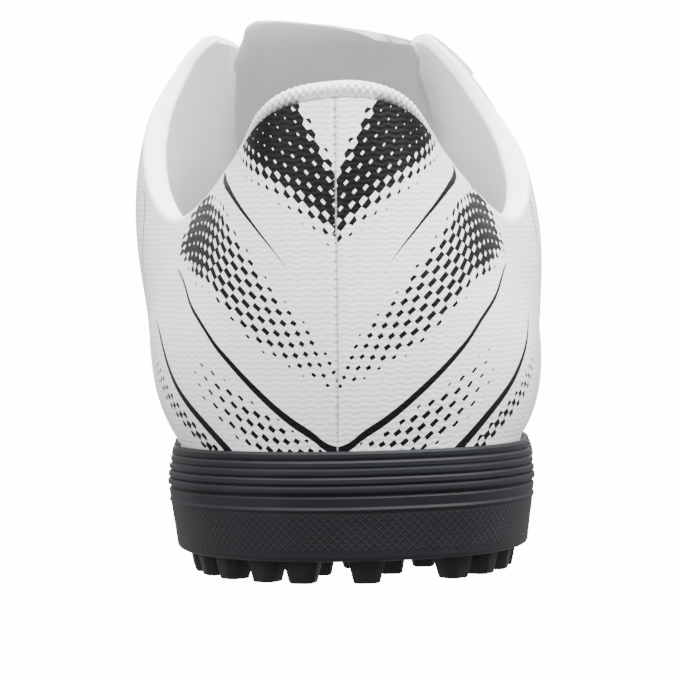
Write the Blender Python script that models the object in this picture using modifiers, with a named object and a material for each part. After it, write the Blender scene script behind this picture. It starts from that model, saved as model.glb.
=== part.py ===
"""Low-cut turf football shoe for the right foot, empty, standing on its lugs.

Metres, +Z up, heel at -Y, toe at +Y, lateral side at +X. The upper is a hollow
shell from sections round the last; the sole is a cup with ribs and lugs.
"""
import math

import bmesh
import bpy
import numpy
from mathutils import Vector
from mathutils.bvhtree import BVHTree

# Driving sizes
LENGTH = 0.286  # sole, heel to toe
BALL_WIDTH = 0.090  # sole, across the ball
INSTEP_HEIGHT = 0.112  # ground to the top corner of the throat
SOLE_HEIGHT = 0.0254  # ground to the rim at the heel
TOE_SPRING = 0.0115  # lift of the sole's underside at the toe
LUG_HEIGHT = 0.0045
GAP = 0.0003  # between neighbouring pieces

# Walls and small sizes
WALL = 0.0021  # upper
COLLAR_PAD = 0.0066  # upper with its collar padding
RIM_THICKNESS = 0.0015  # top of the cup sole's wall
RIM_INSET = 0.0010  # rim's outer edge inside the sole's widest line
SIDE_DRAFT = 0.0027  # how far the sole's side draws in towards its underside
RIB_DEPTH = 0.0006
FLOOR_SHARE = 0.45  # height of the cup's floor between underside and rim
RIM_CLEAR = 0.0004  # the upper starts to swell this far above the rim
INSOLE_THICKNESS = 0.004
INSOLE_EASE = 0.001  # round the insole, inside the wall
TONGUE_THICKNESS = 0.0036
THROAT_CROWN = 0.002  # rise of the instep between the two throat edges
BINDING_HEIGHT = 0.0032  # roll along the collar, at the heel
BINDING_WIDTH = 0.0034
BINDING_END = 5.6  # rows from the heel's centre to each end of the roll
BINDING_SEAT = 0.0005  # clear of the wall's edge, whose facets stand a little proud
BINDING_STEPS = 30
BINDING_SIDES = 8
LACE_WIDTH = 0.0062
LACE_THICKNESS = 0.0013
LACE_STEPS = 6  # along one run
LACE_SECTION = ((-1, 0), (-.8, -1), (.8, -1), (1, 0), (.8, 1), (-.8, 1))  # half widths
EYELET_RADIUS = 0.0019
EYELET_REACH = 0.0085  # from the throat's edge to an eyelet
EYELET_DEPTH = 0.012  # length of an eyelet's cutter
EYELET_SIDES = 12

# Sections round the shoe, heel centre to toe centre, one row each: the sole's
# widest line (x, y), the collar and throat edge (x, y, z), and the two handles
# of the wall between them. x and out are shares of BALL_WIDTH, y of LENGTH,
# z and up of INSTEP_HEIGHT; reach is the share of the way from edge to sole.
COLUMNS = ("sole_x", "sole_y", "top_x", "top_y", "top_z",
           "low_out", "low_up", "reach", "high_out", "high_up")
HEEL_ROW = (.012, .000, .000, .028, .822, .044, .196, .30, .039, -.232)
TOE_ROW = (-.089, 1.00, -.039, .697, .586, .044, .125, .66, .022, -.071)
MEDIAL_ROWS = (
    (-.133, .010, -.106, .034, .811, .044, .196, .30, .039, -.230),
    (-.233, .030, -.178, .052, .780, .050, .188, .30, .044, -.214),
    (-.327, .066, -.228, .093, .728, .085, .150, .30, .067, -.196),
    (-.384, .115, -.284, .147, .680, .100, .130, .30, .067, -.179),
    (-.402, .175, -.344, .203, .637, .110, .125, .30, .078, -.161),
    (-.392, .245, -.406, .259, .625, .115, .120, .30, .085, -.161),
    (-.364, .308, -.460, .304, .690, .130, .125, .30, .090, -.179),
    (-.338, .371, -.470, .350, .804, .155, .130, .35, .138, -.214),
    (-.326, .427, -.412, .388, .911, .190, .150, .45, .222, -.223),
    (-.334, .479, -.313, .416, .996, .189, .155, .50, .290, -.188),
    (-.368, .535, -.194, .455, .938, .200, .152, .50, .322, -.143),
    (-.424, .598, -.156, .517, .839, .178, .134, .55, .274, -.107),
    (-.472, .664, -.133, .580, .741, .145, .134, .60, .200, -.080),
    (-.486, .731, -.117, .633, .661, .115, .134, .62, .144, -.063),
    (-.470, .806, -.100, .668, .614, .078, .125, .64, .100, -.054),
    (-.420, .878, -.081, .685, .596, .056, .125, .65, .067, -.054),
    (-.311, .946, -.060, .694, .588, .044, .125, .66, .033, -.063),
)
LATERAL_ROWS = (
    (.167, .010, .100, .034, .814, .044, .196, .30, .039, -.230),
    (.278, .030, .172, .056, .783, .044, .188, .30, .044, -.214),
    (.361, .066, .228, .098, .728, .070, .155, .30, .067, -.196),
    (.410, .115, .289, .150, .676, .080, .140, .30, .067, -.179),
    (.420, .175, .353, .203, .628, .085, .135, .30, .061, -.161),
    (.418, .245, .412, .259, .612, .078, .130, .30, .067, -.161),
    (.412, .308, .450, .304, .665, .078, .138, .30, .084, -.170),
    (.405, .371, .444, .346, .741, .078, .143, .35, .100, -.196),
    (.410, .427, .372, .385, .848, .096, .161, .45, .165, -.214),
    (.428, .483, .228, .416, .988, .140, .161, .50, .255, -.188),
    (.462, .542, .156, .455, .938, .135, .152, .50, .265, -.143),
    (.497, .605, .106, .517, .839, .118, .134, .55, .267, -.107),
    (.514, .671, .083, .580, .741, .125, .134, .60, .233, -.080),
    (.507, .740, .061, .633, .661, .105, .134, .62, .167, -.063),
    (.470, .810, .033, .668, .614, .089, .125, .64, .111, -.054),
    (.394, .877, .009, .685, .596, .067, .125, .65, .067, -.054),
    (.228, .944, -.014, .694, .588, .050, .125, .66, .033, -.063),
)
UNITS = numpy.array((BALL_WIDTH, LENGTH, BALL_WIDTH, LENGTH, INSTEP_HEIGHT,
                     BALL_WIDTH, INSTEP_HEIGHT, 1.0, BALL_WIDTH, INSTEP_HEIGHT))
SIDE_ROWS = len(MEDIAL_ROWS) + 1  # rows from the heel's centre to the toe's
LOOP_ROWS = 2 * SIDE_ROWS
COLUMNS_PER_ROW = 2
LOOP_COLUMNS = LOOP_ROWS * COLUMNS_PER_ROW
WALL_STEPS = (0, .08, .18, .30, .43, .56, .69, .81, .91, 1)

# Side view of the sole: share of LENGTH, rim as a share of SOLE_HEIGHT, lift of
# the underside as a share of TOE_SPRING
SOLE_SIDE = (
    (.00, 1.000, .00), (.12, .985, .00), (.26, .905, .00), (.34, .850, .10),
    (.40, .800, .30), (.47, .745, .16), (.53, .700, .00), (.66, .655, .00),
    (.77, .670, .00), (.84, .735, .12), (.92, .875, .46), (1.0, 1.050, 1.0),
)
SIDE_BLUR = 0.025  # share of LENGTH over which the side view's corners are eased

# Section of the sole's side below the ribs: share of its height, inset from the
# widest line as a share of SIDE_DRAFT
SOLE_WALL = ((.00, .80), (.03, .62), (.20, .46), (.40, .24), (.585, .06), (.605, .28))
RIB_FROM = .625
RIB_COUNT = 5

# Eyelet pairs, as rows of the section table
EYELET_ROWS = (11.3, 11.95, 12.6, 13.25, 13.9, 14.55)

# Tongue, toe end first: share of LENGTH, medial and lateral edge as shares of
# BALL_WIDTH
TONGUE_ROWS = (
    (.745, -.155, .085), (.710, -.185, .120), (.670, -.205, .145), (.620, -.225, .170),
    (.570, -.240, .190), (.520, -.250, .203), (.475, -.252, .194), (.443, -.250, .177),
)
# Free top of the tongue: steps back and up from its last row on the medial side,
# up on the lateral side, both edges, all as shares of BALL_WIDTH, and the share
# of the row's crown that is taken off
TONGUE_TOP = ((.030, .038, .033, -.247, .182, .2), (.052, .082, .063, -.243, .196, .5),
              (.060, .106, .081, -.232, .196, .7), (.062, .114, .088, -.216, .187, .75))
TONGUE_ACROSS = 9
TONGUE_SINK = 0.0012  # below the wall's inner face

# Lugs: half sizes along and across the outline at the root, and the tip's share
LUG_HALF = (0.0039, 0.0034)
LUG_TIP = 0.66
LUG_ROOT = 0.0012  # how far a lug's root goes into the sole
LUG_INSET = 0.0072  # middle of the outer lugs inside the widest line
# Places of the outer lugs round the outline, in rows from the heel's centre
MEDIAL_LUGS = (.95, 1.95, 2.85, 3.6, 4.25, 4.85, 5.4, 5.9, 6.4, 10.3, 10.9, 11.5, 12.05,
               12.6, 13.15, 13.7, 14.25, 14.8, 15.35, 15.9, 16.5, 17.1, 17.75)
LATERAL_LUGS = (.2, 2.0, 2.9, 3.65, 4.3, 4.9, 5.45, 5.95, 6.45, 10.3, 10.9, 11.5, 12.05,
                12.6, 13.15, 13.7, 14.25, 14.8, 15.35, 15.9, 16.45, 16.95, 17.45)
# Inner lugs: share of LENGTH, and how many stand across
INNER_LUGS = ((.085, 2), (.130, 3), (.175, 2), (.220, 3), (.535, 2), (.580, 3), (.625, 4),
              (.670, 5), (.715, 4), (.760, 5), (.805, 4), (.850, 3), (.895, 2))
INNER_PITCH = 0.0138
INNER_SCALE = 0.85  # inner lugs against outer ones
LUG_CLEAR = 0.0098  # least distance between the middles of an inner and an outer lug

MATERIALS = {
    "outsole": ("black_rubber", (0.022, 0.024, 0.029), 0.62),
    "upper": ("white_synthetic", (0.78, 0.78, 0.79), 0.45),
    "insole": ("grey_foam_cloth", (0.35, 0.35, 0.34), 0.85),
    "tongue": ("grey_lining", (0.52, 0.52, 0.49), 0.80),
    "collar_binding": ("knitted_edge", (0.72, 0.73, 0.70), 0.85),
    "laces": ("white_braid", (0.76, 0.76, 0.76), 0.80),
}


def closed_spline(knots):
    """Bends of the smooth closed curve through the knots."""
    count = len(knots)
    matrix = 4 * numpy.eye(count)
    for i in range(count):
        matrix[i, i - 1] += 1
        matrix[i, (i + 1) % count] += 1
    change = numpy.roll(knots, -1, 0) - 2 * knots + numpy.roll(knots, 1, 0)
    return numpy.linalg.solve(matrix, 6 * change)


KNOTS = UNITS * numpy.array((HEEL_ROW,) + MEDIAL_ROWS + (TOE_ROW,) + LATERAL_ROWS[::-1])
BENDS = closed_spline(KNOTS)


def section(u):
    """The table's values at row u of the closed loop, keyed by column."""
    i = math.floor(u)
    b = u - i
    a = 1 - b
    i, j = i % LOOP_ROWS, (i + 1) % LOOP_ROWS
    values = a * KNOTS[i] + b * KNOTS[j]
    values = values + ((a ** 3 - a) * BENDS[i] + (b ** 3 - b) * BENDS[j]) / 6
    return dict(zip(COLUMNS, values.tolist()))


def outward(u):
    """Plan normal of the sole's widest line."""
    step = 0.01
    before, after = section(u - step), section(u + step)
    normal = Vector((before["sole_y"] - after["sole_y"], after["sole_x"] - before["sole_x"], 0))
    return normal.normalized()


def sole_point(u, inset, z):
    """Point inside the sole's widest line at height z."""
    here = section(u)
    return Vector((here["sole_x"], here["sole_y"], z)) - inset * outward(u)


def sole_heights(y):
    """Underside, floor and rim heights of the sole at a place along it."""
    along, rims, lifts = zip(*SOLE_SIDE)
    around = [y / LENGTH + SIDE_BLUR * k for k in (-1, -.5, 0, .5, 1)]
    rim = SOLE_HEIGHT * float(numpy.mean(numpy.interp(around, along, rims)))
    under = LUG_HEIGHT + TOE_SPRING * float(numpy.mean(numpy.interp(around, along, lifts)))
    return under, under + FLOOR_SHARE * (rim - under), rim


FOOT_INSET = RIM_INSET + RIM_THICKNESS + GAP  # the upper's face inside the cup


def wall_handles(u):
    """Four control points of the upper's outer face from rim to edge."""
    here = section(u)
    rim = sole_heights(here["sole_y"])[2] + RIM_CLEAR
    foot = sole_point(u, FOOT_INSET, rim)
    top = Vector((here["top_x"], here["top_y"], here["top_z"]))
    normal = outward(u)
    low = foot + here["low_out"] * normal + Vector((0, 0, here["low_up"]))
    high = top + here["reach"] * (foot - top) * Vector((1, 1, 0)) + here["high_out"] * normal
    high.z = top.z + here["high_up"]
    return foot, low, high, top


def wall_point(u, t):
    """Outer face of the upper, t from 0 at the rim to 1 at the edge."""
    foot, low, high, top = wall_handles(u)
    s = 1 - t
    return s ** 3 * foot + 3 * s * s * t * low + 3 * s * t * t * high + t ** 3 * top


def wall_normal(u, t):
    """Outward normal of the upper's outer face."""
    step = 0.02
    t = min(t, 1 - step)
    round_way = wall_point(u + step, t) - wall_point(u - step, t)
    up_way = wall_point(u, t + step) - wall_point(u, t)
    return up_way.cross(round_way).normalized()


def new_object(name, points, faces, collection):
    """Mesh object from points and faces."""
    mesh = bpy.data.meshes.new(name)
    mesh.from_pydata([tuple(p) for p in points], [], faces)
    bm = bmesh.new()
    bm.from_mesh(mesh)
    bmesh.ops.recalc_face_normals(bm, faces=bm.faces)
    bm.to_mesh(mesh)
    bm.free()
    obj = bpy.data.objects.new(name, mesh)
    collection.objects.link(obj)
    return obj


def ring_faces(rings, count):
    """Quads between closed rings that follow each other."""
    faces = []
    for r in range(rings - 1):
        for c in range(count):
            d = (c + 1) % count
            faces.append((r * count + c, r * count + d, (r + 1) * count + d, (r + 1) * count + c))
    return faces


def across_faces(first, count):
    """Faces that close a ring from its medial to its lateral side."""
    half = count // 2
    faces = [(first, first + 1, first + count - 1), (first + half - 1, first + half, first + half + 1)]
    for c in range(1, half - 1):
        faces.append((first + c, first + c + 1, first + count - c - 1, first + count - c))
    return faces


def boolean(obj, tool, operation):
    """Join or cut with one tool object or with a collection of them."""
    change = obj.modifiers.new(operation.lower(), "BOOLEAN")
    change.operation = operation
    change.solver = "EXACT"
    if isinstance(tool, bpy.types.Collection):
        change.operand_type = "COLLECTION"
        change.collection = tool
    else:
        change.object = tool


def hidden_tool(obj):
    """Keep a cutter out of the picture."""
    obj.hide_render = True
    obj.display_type = "WIRE"


def loop_columns():
    """Row value of each column of the loop."""
    return [c / COLUMNS_PER_ROW for c in range(LOOP_COLUMNS)]


def sole_sides():
    """Share of height and inset of each line of the sole's outer side."""
    lines = [(share, inset * SIDE_DRAFT) for share, inset in SOLE_WALL]
    pitch = (1 - RIB_FROM) / RIB_COUNT
    for k in range(RIB_COUNT):
        crest = RIM_INSET * (k / (RIB_COUNT - 1)) ** 1.5
        start = RIB_FROM + k * pitch
        lines.append((start + .18 * pitch, crest))
        lines.append((start + .72 * pitch, crest))
        if k < RIB_COUNT - 1:
            lines.append((start + .95 * pitch, crest + RIB_DEPTH))
    lines.append((1, RIM_INSET + RIB_DEPTH))
    return lines


def make_lug(bm, middle, along, scale):
    """Six-sided block that narrows downwards from the sole."""
    across = Vector((-along.y, along.x, 0))
    half_along, half_across = (scale * h for h in LUG_HALF)
    root_z = middle.z + LUG_ROOT
    tip_z = middle.z - LUG_HEIGHT
    corners = ((1, .45), (.55, 1), (-.55, 1), (-1, .45), (-.8, -1), (.8, -1))
    rings = []
    for z, size in ((root_z, 1), (tip_z, LUG_TIP)):
        ring = []
        for a, b in corners:
            place = middle + size * (a * half_along * along + b * half_across * across)
            ring.append(bm.verts.new((place.x, place.y, z)))
        rings.append(ring)
    bm.faces.new(rings[0])
    bm.faces.new(rings[1][::-1])
    for k, corner in enumerate(rings[0]):
        n = (k + 1) % len(corners)
        bm.faces.new((corner, rings[1][k], rings[1][n], rings[0][n]))


def make_lugs(collection):
    """All lugs as one tool: an outer row round the sole and rows inside it."""
    bm = bmesh.new()
    taken = []
    for u in list(MEDIAL_LUGS) + [LOOP_ROWS - u for u in LATERAL_LUGS]:
        normal = outward(u)
        middle = sole_point(u, LUG_INSET, 0)
        middle.z = sole_heights(middle.y)[0]
        make_lug(bm, middle, Vector((normal.y, -normal.x, 0)), 1)
        taken.append(middle)
    for share, count in INNER_LUGS:
        y = share * LENGTH
        centre = sum(edge_at(y)) / 2
        for k in range(count):
            x = centre + (k - (count - 1) / 2) * INNER_PITCH
            middle = Vector((x, y, sole_heights(y)[0]))
            if min((middle - other).length for other in taken) > LUG_CLEAR:
                make_lug(bm, middle, Vector((1, 0, 0)), INNER_SCALE)
    bmesh.ops.recalc_face_normals(bm, faces=bm.faces)
    mesh = bpy.data.meshes.new("lug_tool")
    bm.to_mesh(mesh)
    bm.free()
    obj = bpy.data.objects.new("lug_tool", mesh)
    collection.objects.link(obj)
    return obj


def edge_at(y):
    """Medial and lateral x of the sole's widest line at a place along it."""
    edges = []
    for rows in (MEDIAL_ROWS, LATERAL_ROWS):
        along = [row[1] * LENGTH for row in rows]
        edges.append(float(numpy.interp(y, along, [row[0] * BALL_WIDTH for row in rows])))
    return edges


def make_outsole(collection, tools):
    """Cup sole: ribbed outer side, rim, inner wall, floor and lugs."""
    points = []
    lines = sole_sides()
    for share, inset in lines:
        for u in loop_columns():
            under, _, rim = sole_heights(section(u)["sole_y"])
            points.append(sole_point(u, inset, under + share * (rim - under)))
    inner = FOOT_INSET - GAP
    for u in loop_columns():
        points.append(sole_point(u, inner, sole_heights(section(u)["sole_y"])[2]))
    for u in loop_columns():
        points.append(sole_point(u, inner, sole_heights(section(u)["sole_y"])[1]))
    rings = len(lines) + 2
    faces = ring_faces(rings, LOOP_COLUMNS)
    faces += across_faces(0, LOOP_COLUMNS)
    faces += across_faces((rings - 1) * LOOP_COLUMNS, LOOP_COLUMNS)
    obj = new_object("outsole", points, faces, collection)
    lugs = make_lugs(tools)
    hidden_tool(lugs)
    boolean(obj, lugs, "UNION")
    return obj


def pad_weight(u, t):
    """How much of the collar's padding the wall has, from 0 to 1."""
    rows = min(u, LOOP_ROWS - u)
    round_share = numpy.interp(rows, (0, 2, 6, 8, 9.3, 10.5), (.8, .8, .9, .8, .2, 0))
    edge_share = numpy.interp(rows, (4, 6.5), (.3, .8))
    up_share = numpy.interp(t, (0, .3, .56, .81, .91, 1), (0, 0, .6, 1, .95, edge_share))
    return float(round_share * up_share)


def eyelet_place(row, side):
    """Point and normal of an eyelet on the outer face, side -1 medial or 1 lateral."""
    u = row if side < 0 else LOOP_ROWS - row
    _, _, high, top = wall_handles(u)
    t = 1 - EYELET_REACH / (3 * (top - high).length)
    return wall_point(u, t), wall_normal(u, t)


def make_upper(collection, tools):
    """Hollow wall from inside the cup sole up to the collar and throat."""
    points = []
    weights = []
    for u in loop_columns():
        points.append(sole_point(u, FOOT_INSET, sole_heights(section(u)["sole_y"])[1] + GAP))
        weights.append(0)
    for t in WALL_STEPS:
        for u in loop_columns():
            points.append(wall_point(u, t))
            weights.append(pad_weight(u, t))
    obj = new_object("upper", points, ring_faces(len(WALL_STEPS) + 1, LOOP_COLUMNS), collection)
    face_outwards(obj)
    group = obj.vertex_groups.new(name="padding")
    for index, weight in enumerate(weights):
        group.add([index], weight, "REPLACE")
    shell = obj.modifiers.new("wall", "SOLIDIFY")
    shell.thickness = COLLAR_PAD
    shell.offset = -1
    shell.use_even_offset = True
    shell.vertex_group = "padding"
    shell.thickness_vertex_group = WALL / COLLAR_PAD
    holes = bmesh.new()
    for row in EYELET_ROWS:
        for side in (-1, 1):
            place, normal = eyelet_place(row, side)
            turn = normal.to_track_quat("Z", "Y").to_matrix().to_4x4()
            turn.translation = place
            bmesh.ops.create_cone(holes, cap_ends=True, segments=EYELET_SIDES, radius1=EYELET_RADIUS,
                                  radius2=EYELET_RADIUS, depth=EYELET_DEPTH, matrix=turn)
    mesh = bpy.data.meshes.new("eyelet_tool")
    holes.to_mesh(mesh)
    holes.free()
    tool = bpy.data.objects.new("eyelet_tool", mesh)
    tools.objects.link(tool)
    hidden_tool(tool)
    boolean(obj, tool, "DIFFERENCE")
    return obj


def face_outwards(obj):
    """Turn an open wall's faces away from the inside of the shoe."""
    middle = Vector((0, LENGTH / 2, 0))
    total = 0
    for face in obj.data.polygons:
        total += face.normal.dot(face.center - middle) * face.area
    if total < 0:
        obj.data.flip_normals()


def make_insole(collection):
    """Plate on the cup's floor inside the upper's wall."""
    inset = FOOT_INSET + WALL + INSOLE_EASE
    points = []
    for lift in (GAP, GAP + INSOLE_THICKNESS):
        for u in loop_columns():
            points.append(sole_point(u, inset, sole_heights(section(u)["sole_y"])[1] + lift))
    faces = ring_faces(2, LOOP_COLUMNS)
    faces += across_faces(0, LOOP_COLUMNS) + across_faces(LOOP_COLUMNS, LOOP_COLUMNS)
    return new_object("insole", points, faces, collection)


def closed_last():
    """Search tree of the outer face with the throat bridged over."""
    points = []
    for t in numpy.linspace(.3, 1, 15).tolist():
        points += [wall_point(u, t) for u in loop_columns()]
    faces = ring_faces(15, LOOP_COLUMNS)
    rim = 14 * LOOP_COLUMNS
    first = 10 * COLUMNS_PER_ROW
    last = LOOP_COLUMNS // 2
    for c in range(first, last):
        left, right = points[rim + c], points[rim + (LOOP_COLUMNS - c) % LOOP_COLUMNS]
        points.append((left + right) / 2 + Vector((0, 0, THROAT_CROWN * (last - c) / (last - first))))
    for c in range(first, last - 1):
        middle = 15 * LOOP_COLUMNS + c - first
        faces.append((rim + c, rim + c + 1, middle + 1, middle))
        other = LOOP_COLUMNS - c
        faces.append((middle, middle + 1, rim + other - 1, rim + other))
    end = 15 * LOOP_COLUMNS + last - 1 - first
    faces.append((rim + last - 1, rim + last, end))
    faces.append((end, rim + last, rim + last + 1))
    return BVHTree.FromPolygons([tuple(p) for p in points], faces)


def drop_on(tree, x, y, lift):
    """Point at a distance from the closed last's face, measured square to it."""
    place, normal, _, _ = tree.ray_cast(Vector((x, y, 2 * INSTEP_HEIGHT)), Vector((0, 0, -1)))
    if normal.z < 0:
        normal = -normal
    return place + lift * normal


def make_tongue(collection, tree):
    """Padded sheet under the throat, free at the top."""
    rows = []
    sink = -(WALL + GAP + TONGUE_SINK)
    for share, medial, lateral in TONGUE_ROWS:
        xs = numpy.linspace(medial * BALL_WIDTH, lateral * BALL_WIDTH, TONGUE_ACROSS)
        rows.append([drop_on(tree, x, share * LENGTH, sink) for x in xs])
    base = rows[-1]
    flat = numpy.linspace(base[0].z, base[-1].z, TONGUE_ACROSS)
    for back, up_medial, up_lateral, medial, lateral, level in TONGUE_TOP:
        xs = numpy.linspace(medial * BALL_WIDTH, lateral * BALL_WIDTH, TONGUE_ACROSS)
        lift = numpy.linspace(up_medial * BALL_WIDTH, up_lateral * BALL_WIDTH, TONGUE_ACROSS)
        heights = [p.z + level * (z - p.z) for p, z in zip(base, flat)] + lift
        rows.append([Vector((x, p.y - back * BALL_WIDTH, z)) for x, z, p in zip(xs, heights, base)])
    points = [p for row in rows for p in row]
    faces = []
    for r in range(len(rows) - 1):
        for c in range(TONGUE_ACROSS - 1):
            a = r * TONGUE_ACROSS + c
            faces.append((a, a + 1, a + 1 + TONGUE_ACROSS, a + TONGUE_ACROSS))
    obj = new_object("tongue", points, faces, collection)
    if sum(face.normal.z for face in obj.data.polygons) < 0:
        obj.data.flip_normals()
    shell = obj.modifiers.new("padding", "SOLIDIFY")
    shell.thickness = TONGUE_THICKNESS
    shell.offset = -1
    shell.use_even_offset = True
    return obj


def make_binding(collection):
    """Knitted roll along the back of the collar, thinner towards its ends."""
    points = []
    for k in range(BINDING_STEPS + 1):
        row = BINDING_END * (2 * k / BINDING_STEPS - 1)
        size = float(numpy.interp(abs(row), (0, 1.6, 4.5, BINDING_END), (1, 1, .62, .45)))
        _, _, high, top = wall_handles(row)
        along = (top - high).normalized()
        normal = wall_normal(row, 1)
        wall = WALL + (COLLAR_PAD - WALL) * pad_weight(row % LOOP_ROWS, 1)
        height, width = size * BINDING_HEIGHT / 2, size * BINDING_WIDTH / 2
        centre = top + (height + BINDING_SEAT) * along - (wall / 2) * normal
        for s in range(BINDING_SIDES):
            angle = 2 * math.pi * s / BINDING_SIDES
            points.append(centre + height * math.cos(angle) * along + width * math.sin(angle) * normal)
    faces = ring_faces(BINDING_STEPS + 1, BINDING_SIDES)
    last = BINDING_STEPS * BINDING_SIDES
    faces += [tuple(range(BINDING_SIDES)), tuple(range(last, last + BINDING_SIDES))]
    return new_object("collar_binding", points, faces, collection)


def lace_run(name, tree, start, finish, collection):
    """Flat run of the lace over the throat from one eyelet to another."""
    middle_line = []
    for k in range(LACE_STEPS + 1):
        plan = start.lerp(finish, k / LACE_STEPS)
        middle_line.append(drop_on(tree, plan.x, plan.y, GAP + LACE_THICKNESS))
    points = []
    for k, place in enumerate(middle_line):
        ahead = middle_line[min(k + 1, LACE_STEPS)] - middle_line[max(k - 1, 0)]
        side = Vector((ahead.y, -ahead.x, 0)).normalized()
        slope = drop_on(tree, place.x, place.y, 1) - drop_on(tree, place.x, place.y, 0)
        side = (side - side.dot(slope) * slope).normalized() * LACE_WIDTH / 2
        rise = slope * LACE_THICKNESS / 2
        for a, b in LACE_SECTION:
            points.append(place + a * side + b * rise)
    sides = len(LACE_SECTION)
    faces = ring_faces(LACE_STEPS + 1, sides)
    last = sides * LACE_STEPS
    faces += [tuple(range(sides)), tuple(range(last, last + sides))]
    return new_object(name, points, faces, collection)


def make_laces(collection, tree):
    """Crossed lace runs joined where they meet."""
    runs = bpy.data.collections.new("lace_runs")
    bpy.context.scene.collection.children.link(runs)
    pairs = [[eyelet_place(row, side)[0] for side in (-1, 1)] for row in EYELET_ROWS]
    first = None
    for k in range(len(pairs) - 1):
        for side in (0, 1):
            target = collection if first is None else runs
            name = "laces" if first is None else f"lace_run_{k}_{side}"
            run = lace_run(name, tree, pairs[k][side], pairs[k + 1][1 - side], target)
            if first is None:
                first = run
            else:
                hidden_tool(run)
    boolean(first, runs, "UNION")
    return first


def dress(obj):
    """Give a piece its material and round shading."""
    name, colour, roughness = MATERIALS[obj.name]
    material = bpy.data.materials.new(name)
    material.use_nodes = True
    shader = material.node_tree.nodes["Principled BSDF"]
    shader.inputs["Base Color"].default_value = (*colour, 1)
    shader.inputs["Roughness"].default_value = roughness
    shader.inputs["Metallic"].default_value = 0
    obj.data.materials.append(material)
    for face in obj.data.polygons:
        face.use_smooth = obj.name not in ("outsole", "laces")


def centre_shoe(collections):
    """Move everything so that the box's bottom centre is the origin."""
    bpy.context.view_layer.update()
    graph = bpy.context.evaluated_depsgraph_get()
    low = Vector((math.inf,) * 3)
    high = -low
    for obj in collections[0].objects:
        shape = obj.evaluated_get(graph)
        for corner in shape.bound_box:
            for axis in range(3):
                low[axis] = min(low[axis], corner[axis])
                high[axis] = max(high[axis], corner[axis])
    shift = Vector((-(low.x + high.x) / 2, -(low.y + high.y) / 2, -low.z))
    for collection in collections:
        for obj in collection.objects:
            for vertex in obj.data.vertices:
                vertex.co += shift


def main():
    """Build the shoe."""
    for obj in list(bpy.data.objects):
        bpy.data.objects.remove(obj)
    shoe = bpy.data.collections.new("turf_shoe")
    tools = bpy.data.collections.new("tools")
    for collection in (shoe, tools):
        bpy.context.scene.collection.children.link(collection)
    tree = closed_last()
    make_outsole(shoe, tools)
    make_upper(shoe, tools)
    make_insole(shoe)
    make_tongue(shoe, tree)
    make_binding(shoe)
    make_laces(shoe, tree)
    for obj in shoe.objects:
        dress(obj)
    centre_shoe((shoe, tools, bpy.data.collections["lace_runs"]))


main()
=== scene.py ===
"""Dressed model of a low-cut turf football shoe, right foot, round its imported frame.

Metres, +Z up, heel at -Y, toe at +Y, lateral side at +X. Each sub-assembly is a
class that shapes and dresses its own pieces; main() builds them in order.
"""
import logging
import math
from dataclasses import dataclass, field
from enum import Enum
from typing import Callable, Sequence

import bpy
import numpy as np
from mathutils import Matrix, Vector
from mathutils.bvhtree import BVHTree


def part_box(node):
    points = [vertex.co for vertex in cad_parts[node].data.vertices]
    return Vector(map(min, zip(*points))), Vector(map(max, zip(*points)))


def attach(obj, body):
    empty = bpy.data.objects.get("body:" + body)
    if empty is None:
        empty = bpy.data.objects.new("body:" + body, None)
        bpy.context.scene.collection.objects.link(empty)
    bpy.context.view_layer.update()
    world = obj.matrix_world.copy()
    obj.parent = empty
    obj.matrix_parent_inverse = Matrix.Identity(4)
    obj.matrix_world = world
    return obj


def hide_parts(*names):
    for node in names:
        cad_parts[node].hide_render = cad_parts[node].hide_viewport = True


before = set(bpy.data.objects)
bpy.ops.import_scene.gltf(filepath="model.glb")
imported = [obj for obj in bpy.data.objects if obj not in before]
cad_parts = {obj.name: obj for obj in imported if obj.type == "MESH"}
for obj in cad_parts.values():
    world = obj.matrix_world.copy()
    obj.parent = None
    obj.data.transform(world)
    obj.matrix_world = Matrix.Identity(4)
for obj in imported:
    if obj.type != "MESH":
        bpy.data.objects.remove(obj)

LOG = logging.getLogger("turf_shoe")
Line = Sequence[tuple[float, float]]


class Side(Enum):
    """Sides of the shoe, with their sign along X."""

    MEDIAL = -1
    LATERAL = 1


class Coat(Enum):
    """Kinds of surface relief that a finish can have."""

    RIPPLE = "ripple"
    RUBBER = "rubber"
    CLOTH = "cloth"
    BRAID = "braid"
    HATCH = "hatch"
    SMOOTH = "smooth"


# Helpers for meshes and operators


def deselect_all() -> None:
    """Leave nothing selected, so that an operator acts only on what follows."""
    if bpy.context.object is not None and bpy.context.object.mode != "OBJECT":
        bpy.ops.object.mode_set(mode="OBJECT")
    bpy.ops.object.select_all(action="DESELECT")


def activate(obj: bpy.types.Object) -> None:
    """Make one object the selected and active one."""
    deselect_all()
    obj.select_set(True)
    bpy.context.view_layer.objects.active = obj


def settle(obj: bpy.types.Object, name: str) -> bpy.types.Object:
    """Put an object's place into its mesh and name it."""
    activate(obj)
    bpy.ops.object.transform_apply(location=True, rotation=True, scale=True)
    obj.name = obj.data.name = name
    return obj


def apply_modifier(obj: bpy.types.Object, kind: str, **settings: object) -> None:
    """Add a modifier with its settings and apply it.

    Args:
        obj: Mesh object to change.
        kind: Blender's name of the modifier.
        **settings: Values of the modifier's properties.
    """
    activate(obj)
    modifier = obj.modifiers.new(kind.lower(), kind)
    for key, value in settings.items():
        setattr(modifier, key, value)
    bpy.ops.object.modifier_apply(modifier=modifier.name)


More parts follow.
